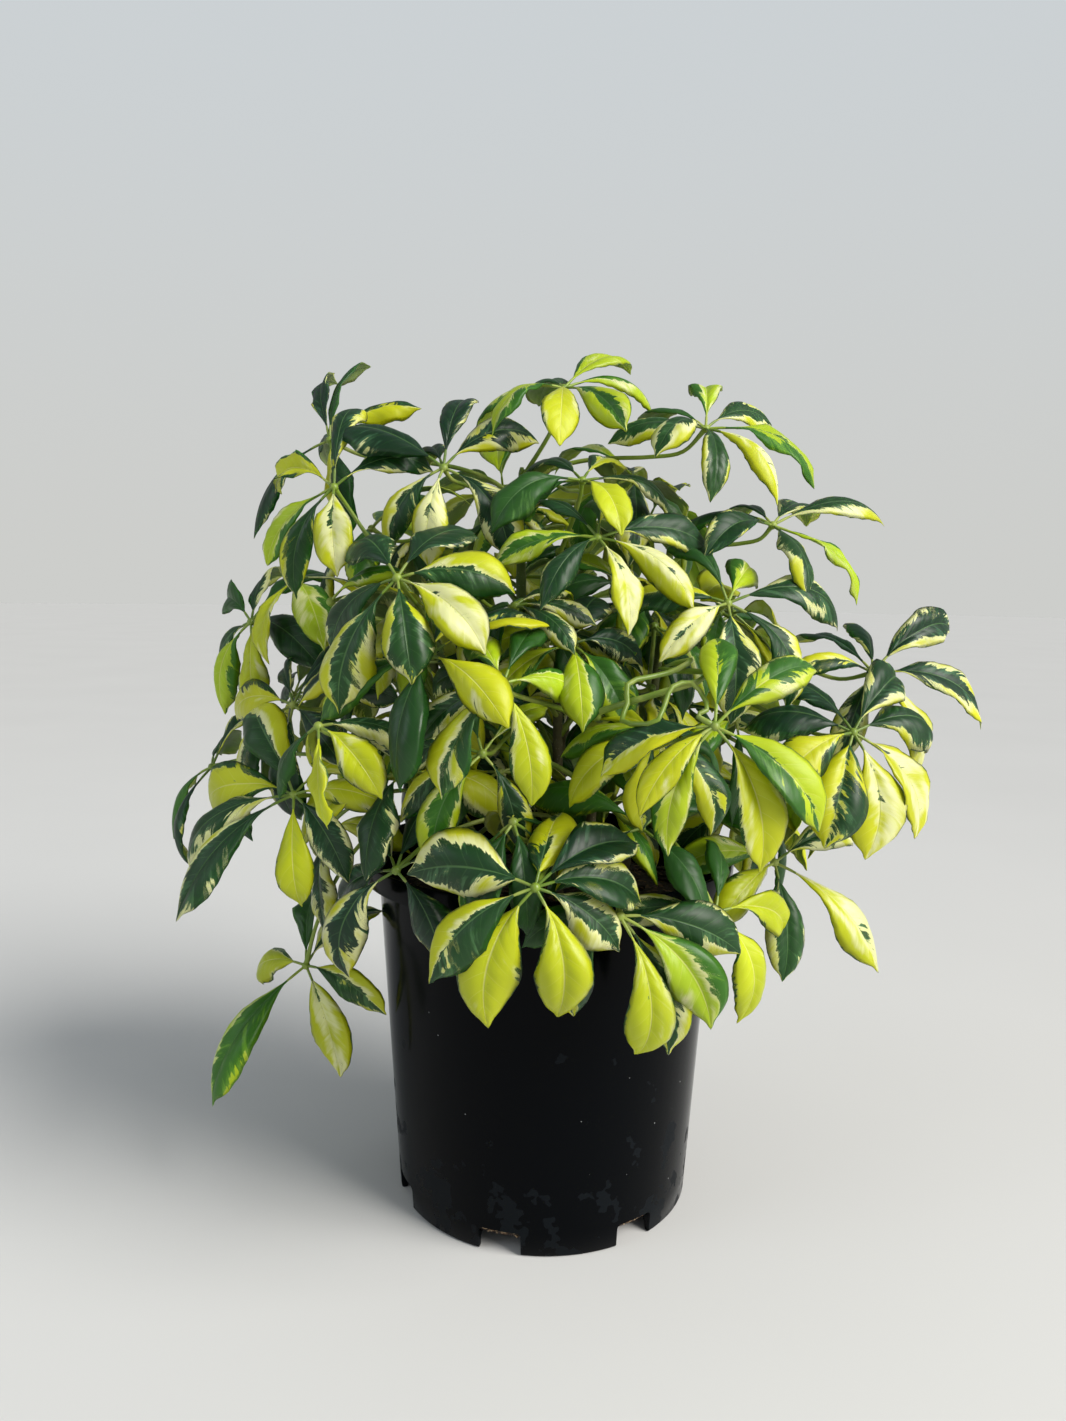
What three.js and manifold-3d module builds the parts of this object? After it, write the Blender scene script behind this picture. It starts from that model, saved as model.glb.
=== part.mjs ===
// A variegated dwarf umbrella tree in a black nursery pot.
// Millimetres, +Z up. The origin is the centre of the pot's foot, on the surface that the pot stands on.
// +X is to the right and -Y towards the viewer.

import * as THREE from 'three';
import { mergeVertices } from 'three/addons/utils/BufferGeometryUtils.js';
import Module from 'manifold-3d';

const wasm = await Module();
wasm.setup();

// Pot: an injection-moulded 200 mm nursery pot with a stepped collar and notched foot.
const FOOT_RADIUS = 80;
const WALL_TOP_RADIUS = 91.5;
const WALL = 1.8;
const COLLAR_RADIUS = 101;
const COLLAR_BOTTOM = 176.5;
const LEDGE_RISE = 1;
const LIP_ROUND = 0.6;
const POT_HEIGHT = 188.5;
const FLOOR_UNDERSIDE = 6;
const FLOOR_TOP = 8;
const FOOT_RING = 3.2;
const NOTCHES = 7;
const NOTCH_WIDTH = 22;
const NOTCH_HEIGHT = 12;
const NOTCH_DEPTH = 11;
const FIRST_NOTCH = -66.4;
const POT_SIDES = 35;

// Potting mix, a little below the rim.
const SOIL_TOP = 164;
const SOIL_EDGE_DROP = 2;
const SOIL_CROWN = 3;
const CROWN_PLACE = 0.6;

// The space between the mix, the pot, the stems and the leaf stalks.
const GAP = 0.3;

// Woody stems: foot on the soil, tip, and radii, all in mm.
const STEM_SINK = 45;
const STEM_SIDES = 6;
const STEM_STEPS = 7;
const STEM_HANDLES = [0.25, 0.6];
const STEMS = {
  tall: { foot: [-14, 12], tip: [-17, 20, 396], radii: [4.6, 2.2] },
  middle: { foot: [6, -10], tip: [4, -2, 352], radii: [3.8, 2.0] },
  left: { foot: [-42, -8], tip: [-64, -14, 334], radii: [4.0, 2.0] },
  right: { foot: [40, 6], tip: [64, 8, 358], radii: [4.0, 2.0] },
  front: { foot: [18, -38], tip: [24, -58, 266], radii: [3.6, 2.0] },
  back: { foot: [4, 44], tip: [14, 76, 348], radii: [4.2, 2.0] },
};

// Leaf stalks. The handles are how far a stalk runs straight out of the stem and straight into the hub.
const STALK_RADII = [1.5, 1.1];
const STALK_SIDES = 3;
const STALK_STEPS = 6;
const STEM_HANDLE = 0.28;
const HUB_HANDLE = 0.3;
const BOW_AT_HUB = 0.6;
const HUB_RADIUS = 3.2;

// Leaflets. A section is its width and depth in mm; a blade's belly and shoulder are each the place
// along the leaflet and the part of the blade's width. Width and arch are parts of the length.
const LEAFLET_ROOT = 1.4;
const ROOT_SECTION = [1.1, 1.1];
const LEAFLET_STALK = 8;
const STALK_SECTION = [2.8, 1.6];
const BLADE_WIDTH = 0.37;
const BLADE_ARCH = 0.58;
const AXIS_SHARE = 0.5;
const SAG_SHARE = 0.6;
const STEEPEST = 0.3;
const BELLY = [0.42, 0.95];
const SHOULDER = [0.76, 0.86];
const RIB_DEPTH = 1.3;
const BANK = 15;
const CURL = 12;

// How clear new growth stays of what stands, and the steps in which it is bent aside.
const CLEARANCE = 0.5;
const PUSH_TURN = 5;
const PUSH_FALL = 7;
const PUSH_RINGS = 5;
const SIZES = [1, 0.88, 0.76];

const DEGREE = Math.PI / 180;
const UP = new THREE.Vector3(0, 0, 1);

// A repeatable draw from 0 to 1, one for each leaf, leaflet and use.
function draw(leaf, leaflet, use) {
  const wave = Math.sin(leaf * 127.1 + leaflet * 311.7 + use * 74.7) * 43758.5453;
  return wave - Math.floor(wave);
}

// The same draw, between two limits.
function vary(low, high, leaf, leaflet, use) {
  return low + (high - low) * draw(leaf, leaflet, use);
}

// A nearly even whorl of leaflets: how many, and the turn of the first in degrees.
function whorl(count, first) {
  const leaflets = [];
  for (let i = 0; i < count; i += 1) {
    const turn = first + (360 * i) / count + vary(-7, 7, count, i, first);
    const fall = vary(19, 41, first, i, 3);
    const length = vary(53, 67, first, i, 5);
    leaflets.push([turn, fall, length]);
  }
  return leaflets;
}

// One umbrella leaf each: the stem it grows on and how high, its hub, its lean as the compass turn
// from +X and the tilt from upright, and its leaflets as turn about the hub, fall below the
// umbrella's plane, both in degrees, and length. over is a point that the stalk bends over.
const UMBRELLAS = [
  { stem: 'front', at: 196, hub: [-5, -135, 205], lean: [270, 60], over: [4, -108, 214],
    leaflets: [[0, 30, 55], [30, 25, 60], [75, 35, 55], [170, 20, 62], [220, 20, 62], [247, 25, 66],
      [282, 30, 58], [330, 30, 50]] },
  { stem: 'front', at: 238, hub: [70, -130, 275], lean: [275, 60],
    leaflets: [[35, 15, 65], [82, 25, 60], [112, 30, 55], [160, 30, 55], [195, 25, 55], [230, 25, 50],
      [252, 25, 60], [292, 25, 66], [318, 20, 62]] },
  { stem: 'front', at: 184, hub: [32, -122, 190], lean: [275, 70], over: [32, -108, 205],
    leaflets: [[200, 30, 50], [250, 32, 56], [270, 22, 66], [290, 18, 72], [312, 15, 68], [345, 15, 62]] },
  { stem: 'front', at: 258, hub: [-20, -115, 290], lean: [270, 60],
    leaflets: [[15, 45, 50], [70, 35, 52], [112, 40, 50], [160, 45, 50], [205, 35, 52], [240, 25, 58],
      [285, 25, 55]] },
  { stem: 'left', at: 300, hub: [-70, -90, 335], lean: [255, 55],
    leaflets: [[0, 25, 55], [60, 30, 60], [130, 30, 60], [200, 38, 58], [238, 25, 68], [278, 15, 52],
      [318, 20, 55]] },
  { stem: 'left', at: 316, hub: [-110, -30, 380], lean: [250, 55],
    leaflets: [[30, 30, 55], [85, 10, 60], [150, 25, 60], [205, 25, 58], [240, 25, 60], [280, 10, 55]] },
  { stem: 'tall', at: 376, hub: [-125, 30, 410], lean: [215, 60],
    leaflets: [[15, 30, 55], [68, 5, 58], [98, 5, 58], [140, 25, 55], [205, 0, 72], [260, 30, 60],
      [320, 30, 60]] },
  { stem: 'tall', at: 368, hub: [-55, -30, 390], lean: [265, 55],
    leaflets: [[35, 20, 60], [80, 15, 60], [120, 40, 50], [165, 15, 66], [230, 25, 50], [262, 20, 52],
      [310, 30, 58]] },
  { stem: 'tall', at: 390, hub: [5, 0, 435], lean: [270, 25],
    leaflets: [[25, 20, 58], [52, 5, 62], [105, 25, 58], [165, 30, 58], [228, 15, 55], [268, 15, 55],
      [305, 10, 55]] },
  { stem: 'tall', at: 384, hub: [80, 0, 415], lean: [290, 30],
    leaflets: [[42, 5, 60], [85, 5, 60], [125, 20, 55], [180, 20, 52], [235, 5, 52], [268, 15, 55],
      [315, 20, 58], [348, 15, 66]] },
  { stem: 'right', at: 344, hub: [115, -10, 365], lean: [300, 20],
    leaflets: [[20, -4, 70], [58, 8, 60], [105, 25, 56], [155, 22, 56], [225, 15, 56], [285, 25, 58],
      [335, 28, 60]] },
  { stem: 'right', at: 316, hub: [85, -60, 325], lean: [290, 50],
    leaflets: [[5, 8, 70], [60, 25, 60], [112, 25, 56], [170, 28, 56], [228, 8, 52], [275, 20, 60],
      [318, 28, 60]] },
  { stem: 'right', at: 296, hub: [165, -30, 290], lean: [300, 50],
    leaflets: [[38, -4, 70], [78, 25, 58], [120, 38, 56], [195, 8, 50], [250, 28, 56], [305, 28, 58],
      [350, 4, 70]] },
  { stem: 'right', at: 268, hub: [145, -70, 265], lean: [290, 55],
    leaflets: [[12, 20, 60], [60, 28, 58], [120, 32, 55], [165, 28, 52], [218, 10, 50], [258, 20, 58],
      [285, 25, 62], [318, 22, 66]] },
  { stem: 'right', at: 208, hub: [115, -50, 195], lean: [295, 50], over: [104, -42, 204],
    leaflets: [[30, 8, 66], [80, 30, 58], [130, 30, 56], [190, 20, 52], [228, 4, 52], [282, 25, 58],
      [322, 8, 74]] },
  { stem: 'left', at: 286, hub: [-165, 10, 310], lean: [230, 60],
    leaflets: [[50, 30, 55], [100, 25, 56], [140, 18, 58], [185, 28, 58], [222, 25, 58], [262, 28, 52],
      [320, 30, 55]] },
  { stem: 'left', at: 262, hub: [-130, -40, 270], lean: [240, 60],
    leaflets: [[5, 30, 56], [60, 30, 56], [115, 30, 56], [168, 20, 60], [212, 25, 62], [260, 28, 60],
      [310, 10, 50]] },
  { stem: 'left', at: 232, hub: [-125, -60, 228], lean: [245, 60],
    leaflets: [[60, 30, 52], [120, 25, 58], [172, 12, 64], [203, 8, 72], [228, -4, 82], [268, 22, 55],
      [300, 22, 52], [350, 15, 52]] },
  { stem: 'left', at: 190, hub: [-130, -20, 125], lean: [245, 65], over: [-118, -18, 186],
    leaflets: [[45, 28, 52], [98, 28, 56], [185, 28, 56], [240, -8, 84], [283, 22, 62], [325, 20, 52]] },
  { stem: 'left', at: 204, hub: [-195, 30, 225], lean: [215, 60], over: [-166, 24, 236],
    leaflets: [[55, 30, 55], [120, 30, 55], [200, 12, 60], [236, 20, 60], [290, 30, 55]] },
  { stem: 'front', at: 206, hub: [-70, -95, 200], lean: [245, 60], over: [-62, -86, 214],
    leaflets: [[10, 30, 50], [70, 30, 52], [135, 42, 52], [185, 32, 56], [230, 25, 60], [290, 30, 50]] },
  { stem: 'middle', at: 262, hub: [-30, -90, 255], lean: [265, 60],
    leaflets: [[50, 30, 50], [115, 30, 50], [178, 30, 54], [212, 25, 54], [245, 25, 58], [290, 30, 48]] },
  { stem: 'middle', at: 312, hub: [10, -70, 305], lean: [270, 50],
    leaflets: [[15, 40, 50], [70, 30, 54], [115, 35, 54], [170, 30, 52], [220, 25, 50], [262, 20, 50],
      [305, 22, 50]] },
  { stem: 'middle', at: 336, hub: [22, -62, 355], lean: [290, 50],
    leaflets: [[15, 10, 66], [80, 30, 56], [135, 30, 54], [190, 30, 54], [240, 10, 52], [290, 12, 52],
      [340, 22, 58]] },
  { stem: 'middle', at: 348, hub: [15, -28, 385], lean: [272, 37],
    leaflets: [[5, 30, 55], [65, 22, 56], [125, 32, 55], [185, 30, 55], [230, 24, 58], [290, 28, 52]] },
  { stem: 'right', at: 352, hub: [45, 20, 392], lean: [300, 30], leaflets: whorl(6, 30) },
  { stem: 'left', at: 326, hub: [-55, -95, 300], lean: [255, 45], leaflets: whorl(6, 15) },
  { stem: 'right', at: 192, hub: [78, -98, 184], lean: [300, 65], over: [70, -86, 202],
    leaflets: [[5, 28, 54], [60, 30, 50], [180, 30, 50], [240, 28, 54], [300, 24, 58]] },
  { stem: 'front', at: 222, hub: [45, -78, 218], lean: [285, 45], leaflets: whorl(5, 20) },
  { stem: 'right', at: 226, hub: [115, 5, 212], lean: [330, 45], over: [100, 6, 218],
    leaflets: whorl(6, 40) },
  { stem: 'left', at: 246, hub: [-72, -62, 240], lean: [248, 42], leaflets: whorl(5, 50) },
  { stem: 'left', at: 206, hub: [-125, 10, 192], lean: [205, 50], over: [-112, 8, 212],
    leaflets: whorl(6, 25) },
  { stem: 'tall', at: 352, hub: [-100, 20, 362], lean: [200, 35], leaflets: whorl(6, 20) },
  { stem: 'tall', at: 330, hub: [-80, 50, 318], lean: [170, 40], leaflets: whorl(6, 0) },
  { stem: 'right', at: 310, hub: [105, 40, 318], lean: [20, 40], leaflets: whorl(6, 10) },
  { stem: 'right', at: 250, hub: [150, 35, 236], lean: [10, 55], leaflets: whorl(6, 30) },
  { stem: 'middle', at: 288, hub: [52, -40, 282], lean: [310, 40], leaflets: whorl(5, 45) },
  { stem: 'middle', at: 300, hub: [42, -12, 332], lean: [300, 35], leaflets: whorl(6, 14) },
  { stem: 'left', at: 270, hub: [-66, -30, 292], lean: [240, 40], leaflets: whorl(6, 35) },
  { stem: 'tall', at: 282, hub: [22, 30, 300], lean: [330, 30], leaflets: whorl(6, 0) },
  { stem: 'tall', at: 218, hub: [-66, 24, 244], lean: [200, 45], leaflets: whorl(6, 55) },
  { stem: 'back', at: 340, hub: [-30, 74, 390], lean: [110, 30], leaflets: whorl(7, 15) },
  { stem: 'back', at: 332, hub: [60, 92, 374], lean: [60, 40], leaflets: whorl(7, 35) },
  { stem: 'back', at: 312, hub: [-88, 104, 334], lean: [130, 50], leaflets: whorl(7, 5) },
  { stem: 'back', at: 300, hub: [14, 128, 318], lean: [85, 55], leaflets: whorl(7, 25) },
  { stem: 'back', at: 286, hub: [124, 104, 294], lean: [45, 55], leaflets: whorl(7, 50) },
  { stem: 'back', at: 262, hub: [-160, 84, 262], lean: [150, 60], leaflets: whorl(7, 40) },
  { stem: 'back', at: 244, hub: [-58, 128, 240], lean: [110, 60], leaflets: whorl(7, 20) },
  { stem: 'back', at: 226, hub: [62, 128, 226], lean: [70, 60], leaflets: whorl(7, 10) },
  { stem: 'right', at: 216, hub: [130, 75, 205], lean: [33, 57], over: [112, 64, 214],
    leaflets: whorl(6, 0) },
];

const material = {
  pot: new THREE.MeshStandardMaterial({ color: 0x111318, roughness: 0.32, metalness: 0 }),
  soil: new THREE.MeshStandardMaterial({ color: 0x3a2a1d, roughness: 0.95, metalness: 0 }),
  stem: new THREE.MeshStandardMaterial({ color: 0x5c5a34, roughness: 0.7, metalness: 0 }),
  leaf: new THREE.MeshStandardMaterial({ color: 0x7f9c3c, roughness: 0.4, metalness: 0 }),
};

// A closed geometry as a solid that can be joined and cut.
function solidOf(geometry) {
  const shell = geometry.clone();
  shell.deleteAttribute('normal');
  shell.deleteAttribute('uv');
  const merged = mergeVertices(shell, 1e-4);
  const corners = merged.index.array;
  const kept = [];
  for (let i = 0; i < corners.length; i += 3) {
    const [a, b, c] = [corners[i], corners[i + 1], corners[i + 2]];
    if (a !== b && b !== c && c !== a) {
      kept.push(a, b, c);
    }
  }
  return new wasm.Manifold(new wasm.Mesh({
    numProp: 3,
    vertProperties: new Float32Array(merged.attributes.position.array),
    triVerts: new Uint32Array(kept),
  }));
}

// A solid as a named mesh of the model.
function meshOf(solid, name, finish) {
  const cut = solid.getMesh();
  const geometry = new THREE.BufferGeometry();
  geometry.setAttribute('position', new THREE.BufferAttribute(cut.vertProperties, 3));
  geometry.setIndex(new THREE.BufferAttribute(cut.triVerts, 1));
  geometry.computeVertexNormals();
  const mesh = new THREE.Mesh(geometry, finish);
  mesh.name = name;
  return mesh;
}

// A turned piece: a profile of [radius, height] points that starts and ends on the axis.
function turned(profile, sides) {
  const points = profile.map(([radius, height]) => new THREE.Vector2(radius, height));
  const geometry = new THREE.LatheGeometry(points, sides);
  geometry.rotateX(Math.PI / 2);
  return geometry;
}

// Outer radius of the pot's tapered wall at a height.
function wallRadius(height) {
  return FOOT_RADIUS + ((WALL_TOP_RADIUS - FOOT_RADIUS) * height) / COLLAR_BOTTOM;
}

// The pot: a turned cup, with the notches cut from its foot.
function makePot() {
  const cup = solidOf(turned([
    [0, FLOOR_UNDERSIDE],
    [FOOT_RADIUS - FOOT_RING, FLOOR_UNDERSIDE],
    [FOOT_RADIUS - FOOT_RING, 0],
    [FOOT_RADIUS, 0],
    [WALL_TOP_RADIUS, COLLAR_BOTTOM - LEDGE_RISE],
    [COLLAR_RADIUS, COLLAR_BOTTOM],
    [COLLAR_RADIUS + LIP_ROUND, POT_HEIGHT - 2 * LIP_ROUND],
    [COLLAR_RADIUS - LIP_ROUND, POT_HEIGHT],
    [COLLAR_RADIUS - WALL, POT_HEIGHT - LIP_ROUND],
    [COLLAR_RADIUS - WALL - LIP_ROUND, COLLAR_BOTTOM + WALL],
    [WALL_TOP_RADIUS - WALL, COLLAR_BOTTOM + WALL - LEDGE_RISE],
    [wallRadius(FLOOR_TOP) - WALL, FLOOR_TOP],
    [0, FLOOR_TOP],
  ], POT_SIDES));
  let pot = cup;
  for (let i = 0; i < NOTCHES; i += 1) {
    const notch = new THREE.BoxGeometry(NOTCH_WIDTH, NOTCH_DEPTH * 2, NOTCH_HEIGHT * 2);
    notch.translate(0, -FOOT_RADIUS, 0);
    notch.rotateZ((FIRST_NOTCH + (360 * i) / NOTCHES) * DEGREE);
    pot = pot.subtract(solidOf(notch));
  }
  return pot;
}

// The potting mix, clear of the pot's wall and floor all round, and lowest at its edge.
function makeSoil() {
  const bottom = FLOOR_TOP + GAP;
  const reach = wallRadius(SOIL_TOP) - WALL - GAP;
  const geometry = turned([
    [0, bottom],
    [wallRadius(bottom) - WALL - GAP, bottom],
    [reach, SOIL_TOP - SOIL_EDGE_DROP],
    [reach * CROWN_PLACE, SOIL_TOP + SOIL_CROWN],
    [0, SOIL_TOP],
  ], POT_SIDES);
  return solidOf(geometry);
}

// A stem's centre line, from below the soil to its tip.
function stemCurve({ foot, tip }) {
  const [x, y] = foot;
  const end = new THREE.Vector3(...tip);
  const rise = tip[2] - SOIL_TOP;
  return new THREE.CubicBezierCurve3(
    new THREE.Vector3(x, y, SOIL_TOP - STEM_SINK),
    new THREE.Vector3(x, y, SOIL_TOP + rise * STEM_HANDLES[0]),
    new THREE.Vector3(tip[0], tip[1], SOIL_TOP + rise * STEM_HANDLES[1]),
    end,
  );
}

// A closed rod along a curve, with a radius at each end. spare is added to both radii.
function rod(curve, [startRadius, endRadius], sides, steps, spare = 0) {
  const geometry = new THREE.CylinderGeometry(1, 1, 1, sides, steps);
  const frames = curve.computeFrenetFrames(steps, false);
  const position = geometry.attributes.position;
  const point = new THREE.Vector3();
  for (let i = 0; i < position.count; i += 1) {
    const step = Math.round((position.getY(i) + 0.5) * steps);
    const radius = THREE.MathUtils.lerp(startRadius, endRadius, step / steps) + spare;
    curve.getPointAt(step / steps, point);
    point.addScaledVector(frames.normals[step], position.getX(i) * radius);
    point.addScaledVector(frames.binormals[step], -position.getZ(i) * radius);
    position.setXYZ(i, point.x, point.y, point.z);
  }
  return geometry;
}

// The point of a stem at a height above the surface that the pot stands on.
function pointOnStem(curve, height) {
  let low = 0;
  let high = 1;
  for (let i = 0; i < 24; i += 1) {
    const middle = (low + high) / 2;
    if (curve.getPoint(middle).z < height) {
      low = middle;
    } else {
      high = middle;
    }
  }
  return curve.getPoint(low);
}

// An umbrella's own directions: its axis, and right and up across it.
function axesOf({ lean: [turn, tilt] }) {
  const out = Math.sin(tilt * DEGREE);
  const axis = new THREE.Vector3(out * Math.cos(turn * DEGREE), out * Math.sin(turn * DEGREE),
    Math.cos(tilt * DEGREE));
  const right = new THREE.Vector3(1, 0, 0);
  right.addScaledVector(axis, -axis.x).normalize();
  const up = new THREE.Vector3().crossVectors(axis, right);
  return { axis, right, up };
}

// A leaf stalk from the stem's core to the umbrella's hub. shift moves its start along the stem, bow
// bends it sideways, and rise is how steeply it leaves.
function stalkCurve(leaf, shift, bow, rise) {
  const start = pointOnStem(stemCurves[leaf.stem], leaf.at + shift);
  const hub = new THREE.Vector3(...leaf.hub);
  const out = hub.clone().sub(start);
  const reach = out.length();
  const side = new THREE.Vector3().crossVectors(UP, out).normalize();
  out.setZ(0).normalize();
  const first = start.clone().addScaledVector(out, reach * STEM_HANDLE).addScaledVector(UP, reach * rise);
  first.addScaledVector(side, bow);
  let last;
  if (leaf.over) {
    last = new THREE.Vector3(...leaf.over);
  } else {
    last = hub.clone().addScaledVector(axesOf(leaf).axis, -reach * HUB_HANDLE);
  }
  last.addScaledVector(side, bow * BOW_AT_HUB);
  return new THREE.CubicBezierCurve3(start, first, last, hub);
}

// The small bud at the hub, which the leaflets and the stalk run into.
function hubBud(leaf, spare) {
  const bud = new THREE.OctahedronGeometry(HUB_RADIUS + spare * Math.sqrt(3));
  bud.translate(...leaf.hub);
  return bud;
}

// One leaflet: a short stalk and a pointed oval blade that arches away from the umbrella's axis.
// It is three-sided, flat above and ribbed below. Each station along it is [place, width, depth].
// spare makes it thicker and wider all round; bladeOnly leaves its stalk out.
function leafletGeometry(leaf, number, finger, [turn, fall, length], spare, bladeOnly) {
  const { axis, right, up } = axesOf(leaf);
  const hub = new THREE.Vector3(...leaf.hub);
  const width = length * BLADE_WIDTH * vary(0.9, 1.15, number, finger, 1);
  const spread = Math.cos(fall * DEGREE);
  const chord = right.clone().multiplyScalar(Math.cos(turn * DEGREE) * spread);
  chord.addScaledVector(up, Math.sin(turn * DEGREE) * spread);
  chord.addScaledVector(axis, -Math.sin(fall * DEGREE));
  const arch = BLADE_ARCH * length * vary(0.7, 1.3, number, finger, 2);
  // A leaflet bows along the umbrella's axis, and up and out where its own weight bends it down again.
  const sag = UP.clone().addScaledVector(chord, -UP.dot(chord));
  const bow = axis.clone().multiplyScalar(AXIS_SHARE);
  bow.addScaledVector(sag, SAG_SHARE / Math.max(sag.length(), STEEPEST));
  bow.addScaledVector(chord, -bow.dot(chord)).normalize();
  const bank = vary(-BANK, BANK, number, finger, 3) * DEGREE;
  const curl = vary(-CURL, CURL, number, finger, 4) * DEGREE;
  const stations = [
    [LEAFLET_ROOT / length, ...ROOT_SECTION],
    [LEAFLET_STALK / length, ...STALK_SECTION],
    [BELLY[0], width * BELLY[1], RIB_DEPTH],
    [SHOULDER[0], width * SHOULDER[1], RIB_DEPTH],
    [1, 0, 0],
  ];
  if (bladeOnly) {
    stations.shift();
  }
  const last = stations.length - 1;
  const geometry = new THREE.CylinderGeometry(0, 1, 1, 3, last);
  const position = geometry.attributes.position;
  const point = new THREE.Vector3();
  const along = new THREE.Vector3();
  const above = new THREE.Vector3();
  const across = new THREE.Vector3();
  for (let i = 0; i < position.count; i += 1) {
    const station = Math.round((position.getY(i) + 0.5) * last);
    const [place, wide, deep] = stations[station];
    const corner = Math.hypot(position.getX(i), position.getZ(i)) || 1;
    const sideways = position.getX(i) / corner / Math.sqrt(3);
    const ribward = (position.getZ(i) / corner + 0.5) / 1.5;
    point.copy(hub).addScaledVector(chord, place * length + (station === last ? spare : 0));
    point.addScaledVector(bow, arch * place * (1 - place));
    along.copy(chord).multiplyScalar(length).addScaledVector(bow, arch * (1 - 2 * place)).normalize();
    above.copy(axis).addScaledVector(along, -axis.dot(along)).normalize();
    above.applyAxisAngle(along, place < BELLY[0] ? 0 : bank + curl * place);
    across.crossVectors(above, along);
    point.addScaledVector(across, sideways * (wide + 4 * spare));
    point.addScaledVector(above, spare - ribward * (deep + 2 * spare));
    position.setXYZ(i, point.x, point.y, point.z);
  }
  return geometry;
}

// What stands already, as boxes and solids, so that new growth can be bent clear of it.
const standing = [];

// Adds a shape to what stands.
function stand(geometry, solid, owner) {
  geometry.computeBoundingBox();
  standing.push({ box: geometry.boundingBox.clone(), solid, owner });
}

// Whether a shape would be clear of everything that stands, apart from what its owner may touch.
function isClear(geometry, mayTouch) {
  geometry.computeBoundingBox();
  const near = standing.filter(({ box, owner }) => owner !== mayTouch
    && box.intersectsBox(geometry.boundingBox));
  if (near.length === 0) {
    return true;
  }
  const solid = solidOf(geometry);
  const clear = near.every((other) => {
    const shared = solid.intersect(other.solid);
    const empty = shared.isEmpty();
    shared.delete();
    return empty;
  });
  solid.delete();
  return clear;
}

// Small pushes for a leaflet, as [turn, fall] in degrees, the gentlest first.
function pushes() {
  const list = [[0, 0]];
  for (let ring = 1; ring <= PUSH_RINGS; ring += 1) {
    for (let way = 0; way < 360; way += 45) {
      list.push([
        ring * PUSH_TURN * Math.cos(way * DEGREE),
        ring * PUSH_FALL * Math.sin(way * DEGREE),
      ]);
    }
  }
  return list;
}

const plant = new THREE.Group();
const stemCurves = {};
const stemSleeves = {};

const pot = makePot();
let soil = makeSoil();
for (const [name, stem] of Object.entries(STEMS)) {
  stemCurves[name] = stemCurve(stem);
  const geometry = rod(stemCurves[name], stem.radii, STEM_SIDES, STEM_STEPS);
  stemSleeves[name] = solidOf(rod(stemCurves[name], stem.radii, STEM_SIDES, STEM_STEPS, GAP));
  soil = soil.subtract(stemSleeves[name]);
  const solid = solidOf(geometry);
  stand(geometry, solid, name);
  plant.add(meshOf(solid, `stem_${name}`, material.stem));
}
const potMesh = meshOf(pot, 'pot', material.pot);
const soilMesh = meshOf(soil, 'potting_mix', material.soil);
stand(potMesh.geometry, pot, 'pot');
stand(soilMesh.geometry, soil, 'soil');
plant.add(potMesh, soilMesh);

// The stalks and hubs first: each stalk takes the straightest way from its stem that crosses nothing.
const stalks = UMBRELLAS.map((leaf, number) => {
  for (const shift of [0, 4, -4, 8, -8, 12, -12]) {
    for (const rise of [0.3, 0.15, 0.45, 0]) {
      for (const bow of [0, 8, -8, 16, -16, 24, -24, 32, -32]) {
        const curve = stalkCurve(leaf, shift, bow, rise);
        const sleeve = rod(curve, STALK_RADII, STALK_SIDES, STALK_STEPS, CLEARANCE);
        if (isClear(sleeve, leaf.stem) && isClear(hubBud(leaf, CLEARANCE), null)) {
          const geometry = rod(curve, STALK_RADII, STALK_SIDES, STALK_STEPS);
          const bud = hubBud(leaf, 0);
          const solid = solidOf(geometry).add(solidOf(bud));
          stand(geometry, solid, number);
          stand(bud, solid, number);
          return solid;
        }
      }
    }
  }
  throw new Error(`leaf ${number + 1} finds no way for its stalk`);
});

// Then the leaflets: each is pushed aside, or stays shorter, until it is clear of what stands.
const PUSHES = pushes();

// The size and push at which a leaflet is clear of its sisters and of the other pieces.
function placeLeaflet(leaf, number, finger, sisters) {
  const [turn, fall, length] = leaf.leaflets[finger];
  for (const size of SIZES) {
    for (const [aside, down] of PUSHES) {
      const bent = [turn + aside, fall + down, length * size];
      const outline = leafletGeometry(leaf, number, finger, bent, CLEARANCE, false);
      const blade = leafletGeometry(leaf, number, finger, bent, CLEARANCE, true);
      const bladeSolid = solidOf(blade);
      const clearOfSisters = sisters.every((sister) => bladeSolid.intersect(sister).isEmpty());
      if (clearOfSisters && isClear(outline, number) && isClear(blade, null)) {
        return bent;
      }
    }
  }
  throw new Error(`leaf ${number + 1} finds no place for leaflet ${finger + 1}`);
}

UMBRELLAS.forEach((leaf, number) => {
  let whole = stalks[number];
  const sisters = [];
  leaf.leaflets.forEach((row, finger) => {
    const bent = placeLeaflet(leaf, number, finger, sisters);
    whole = whole.add(solidOf(leafletGeometry(leaf, number, finger, bent, 0, false)));
    sisters.push(solidOf(leafletGeometry(leaf, number, finger, bent, 0, true)));
  });
  whole = whole.subtract(stemSleeves[leaf.stem]);
  const name = `umbrella_leaf_${String(number + 1).padStart(2, '0')}`;
  const mesh = meshOf(whole, name, material.leaf);
  stand(mesh.geometry, whole, name);
  plant.add(mesh);
});

export default plant;
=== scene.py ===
import math
import random

import bmesh
import bpy
from mathutils import Matrix, Vector, noise
from mathutils.bvhtree import BVHTree
from mathutils.kdtree import KDTree


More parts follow.
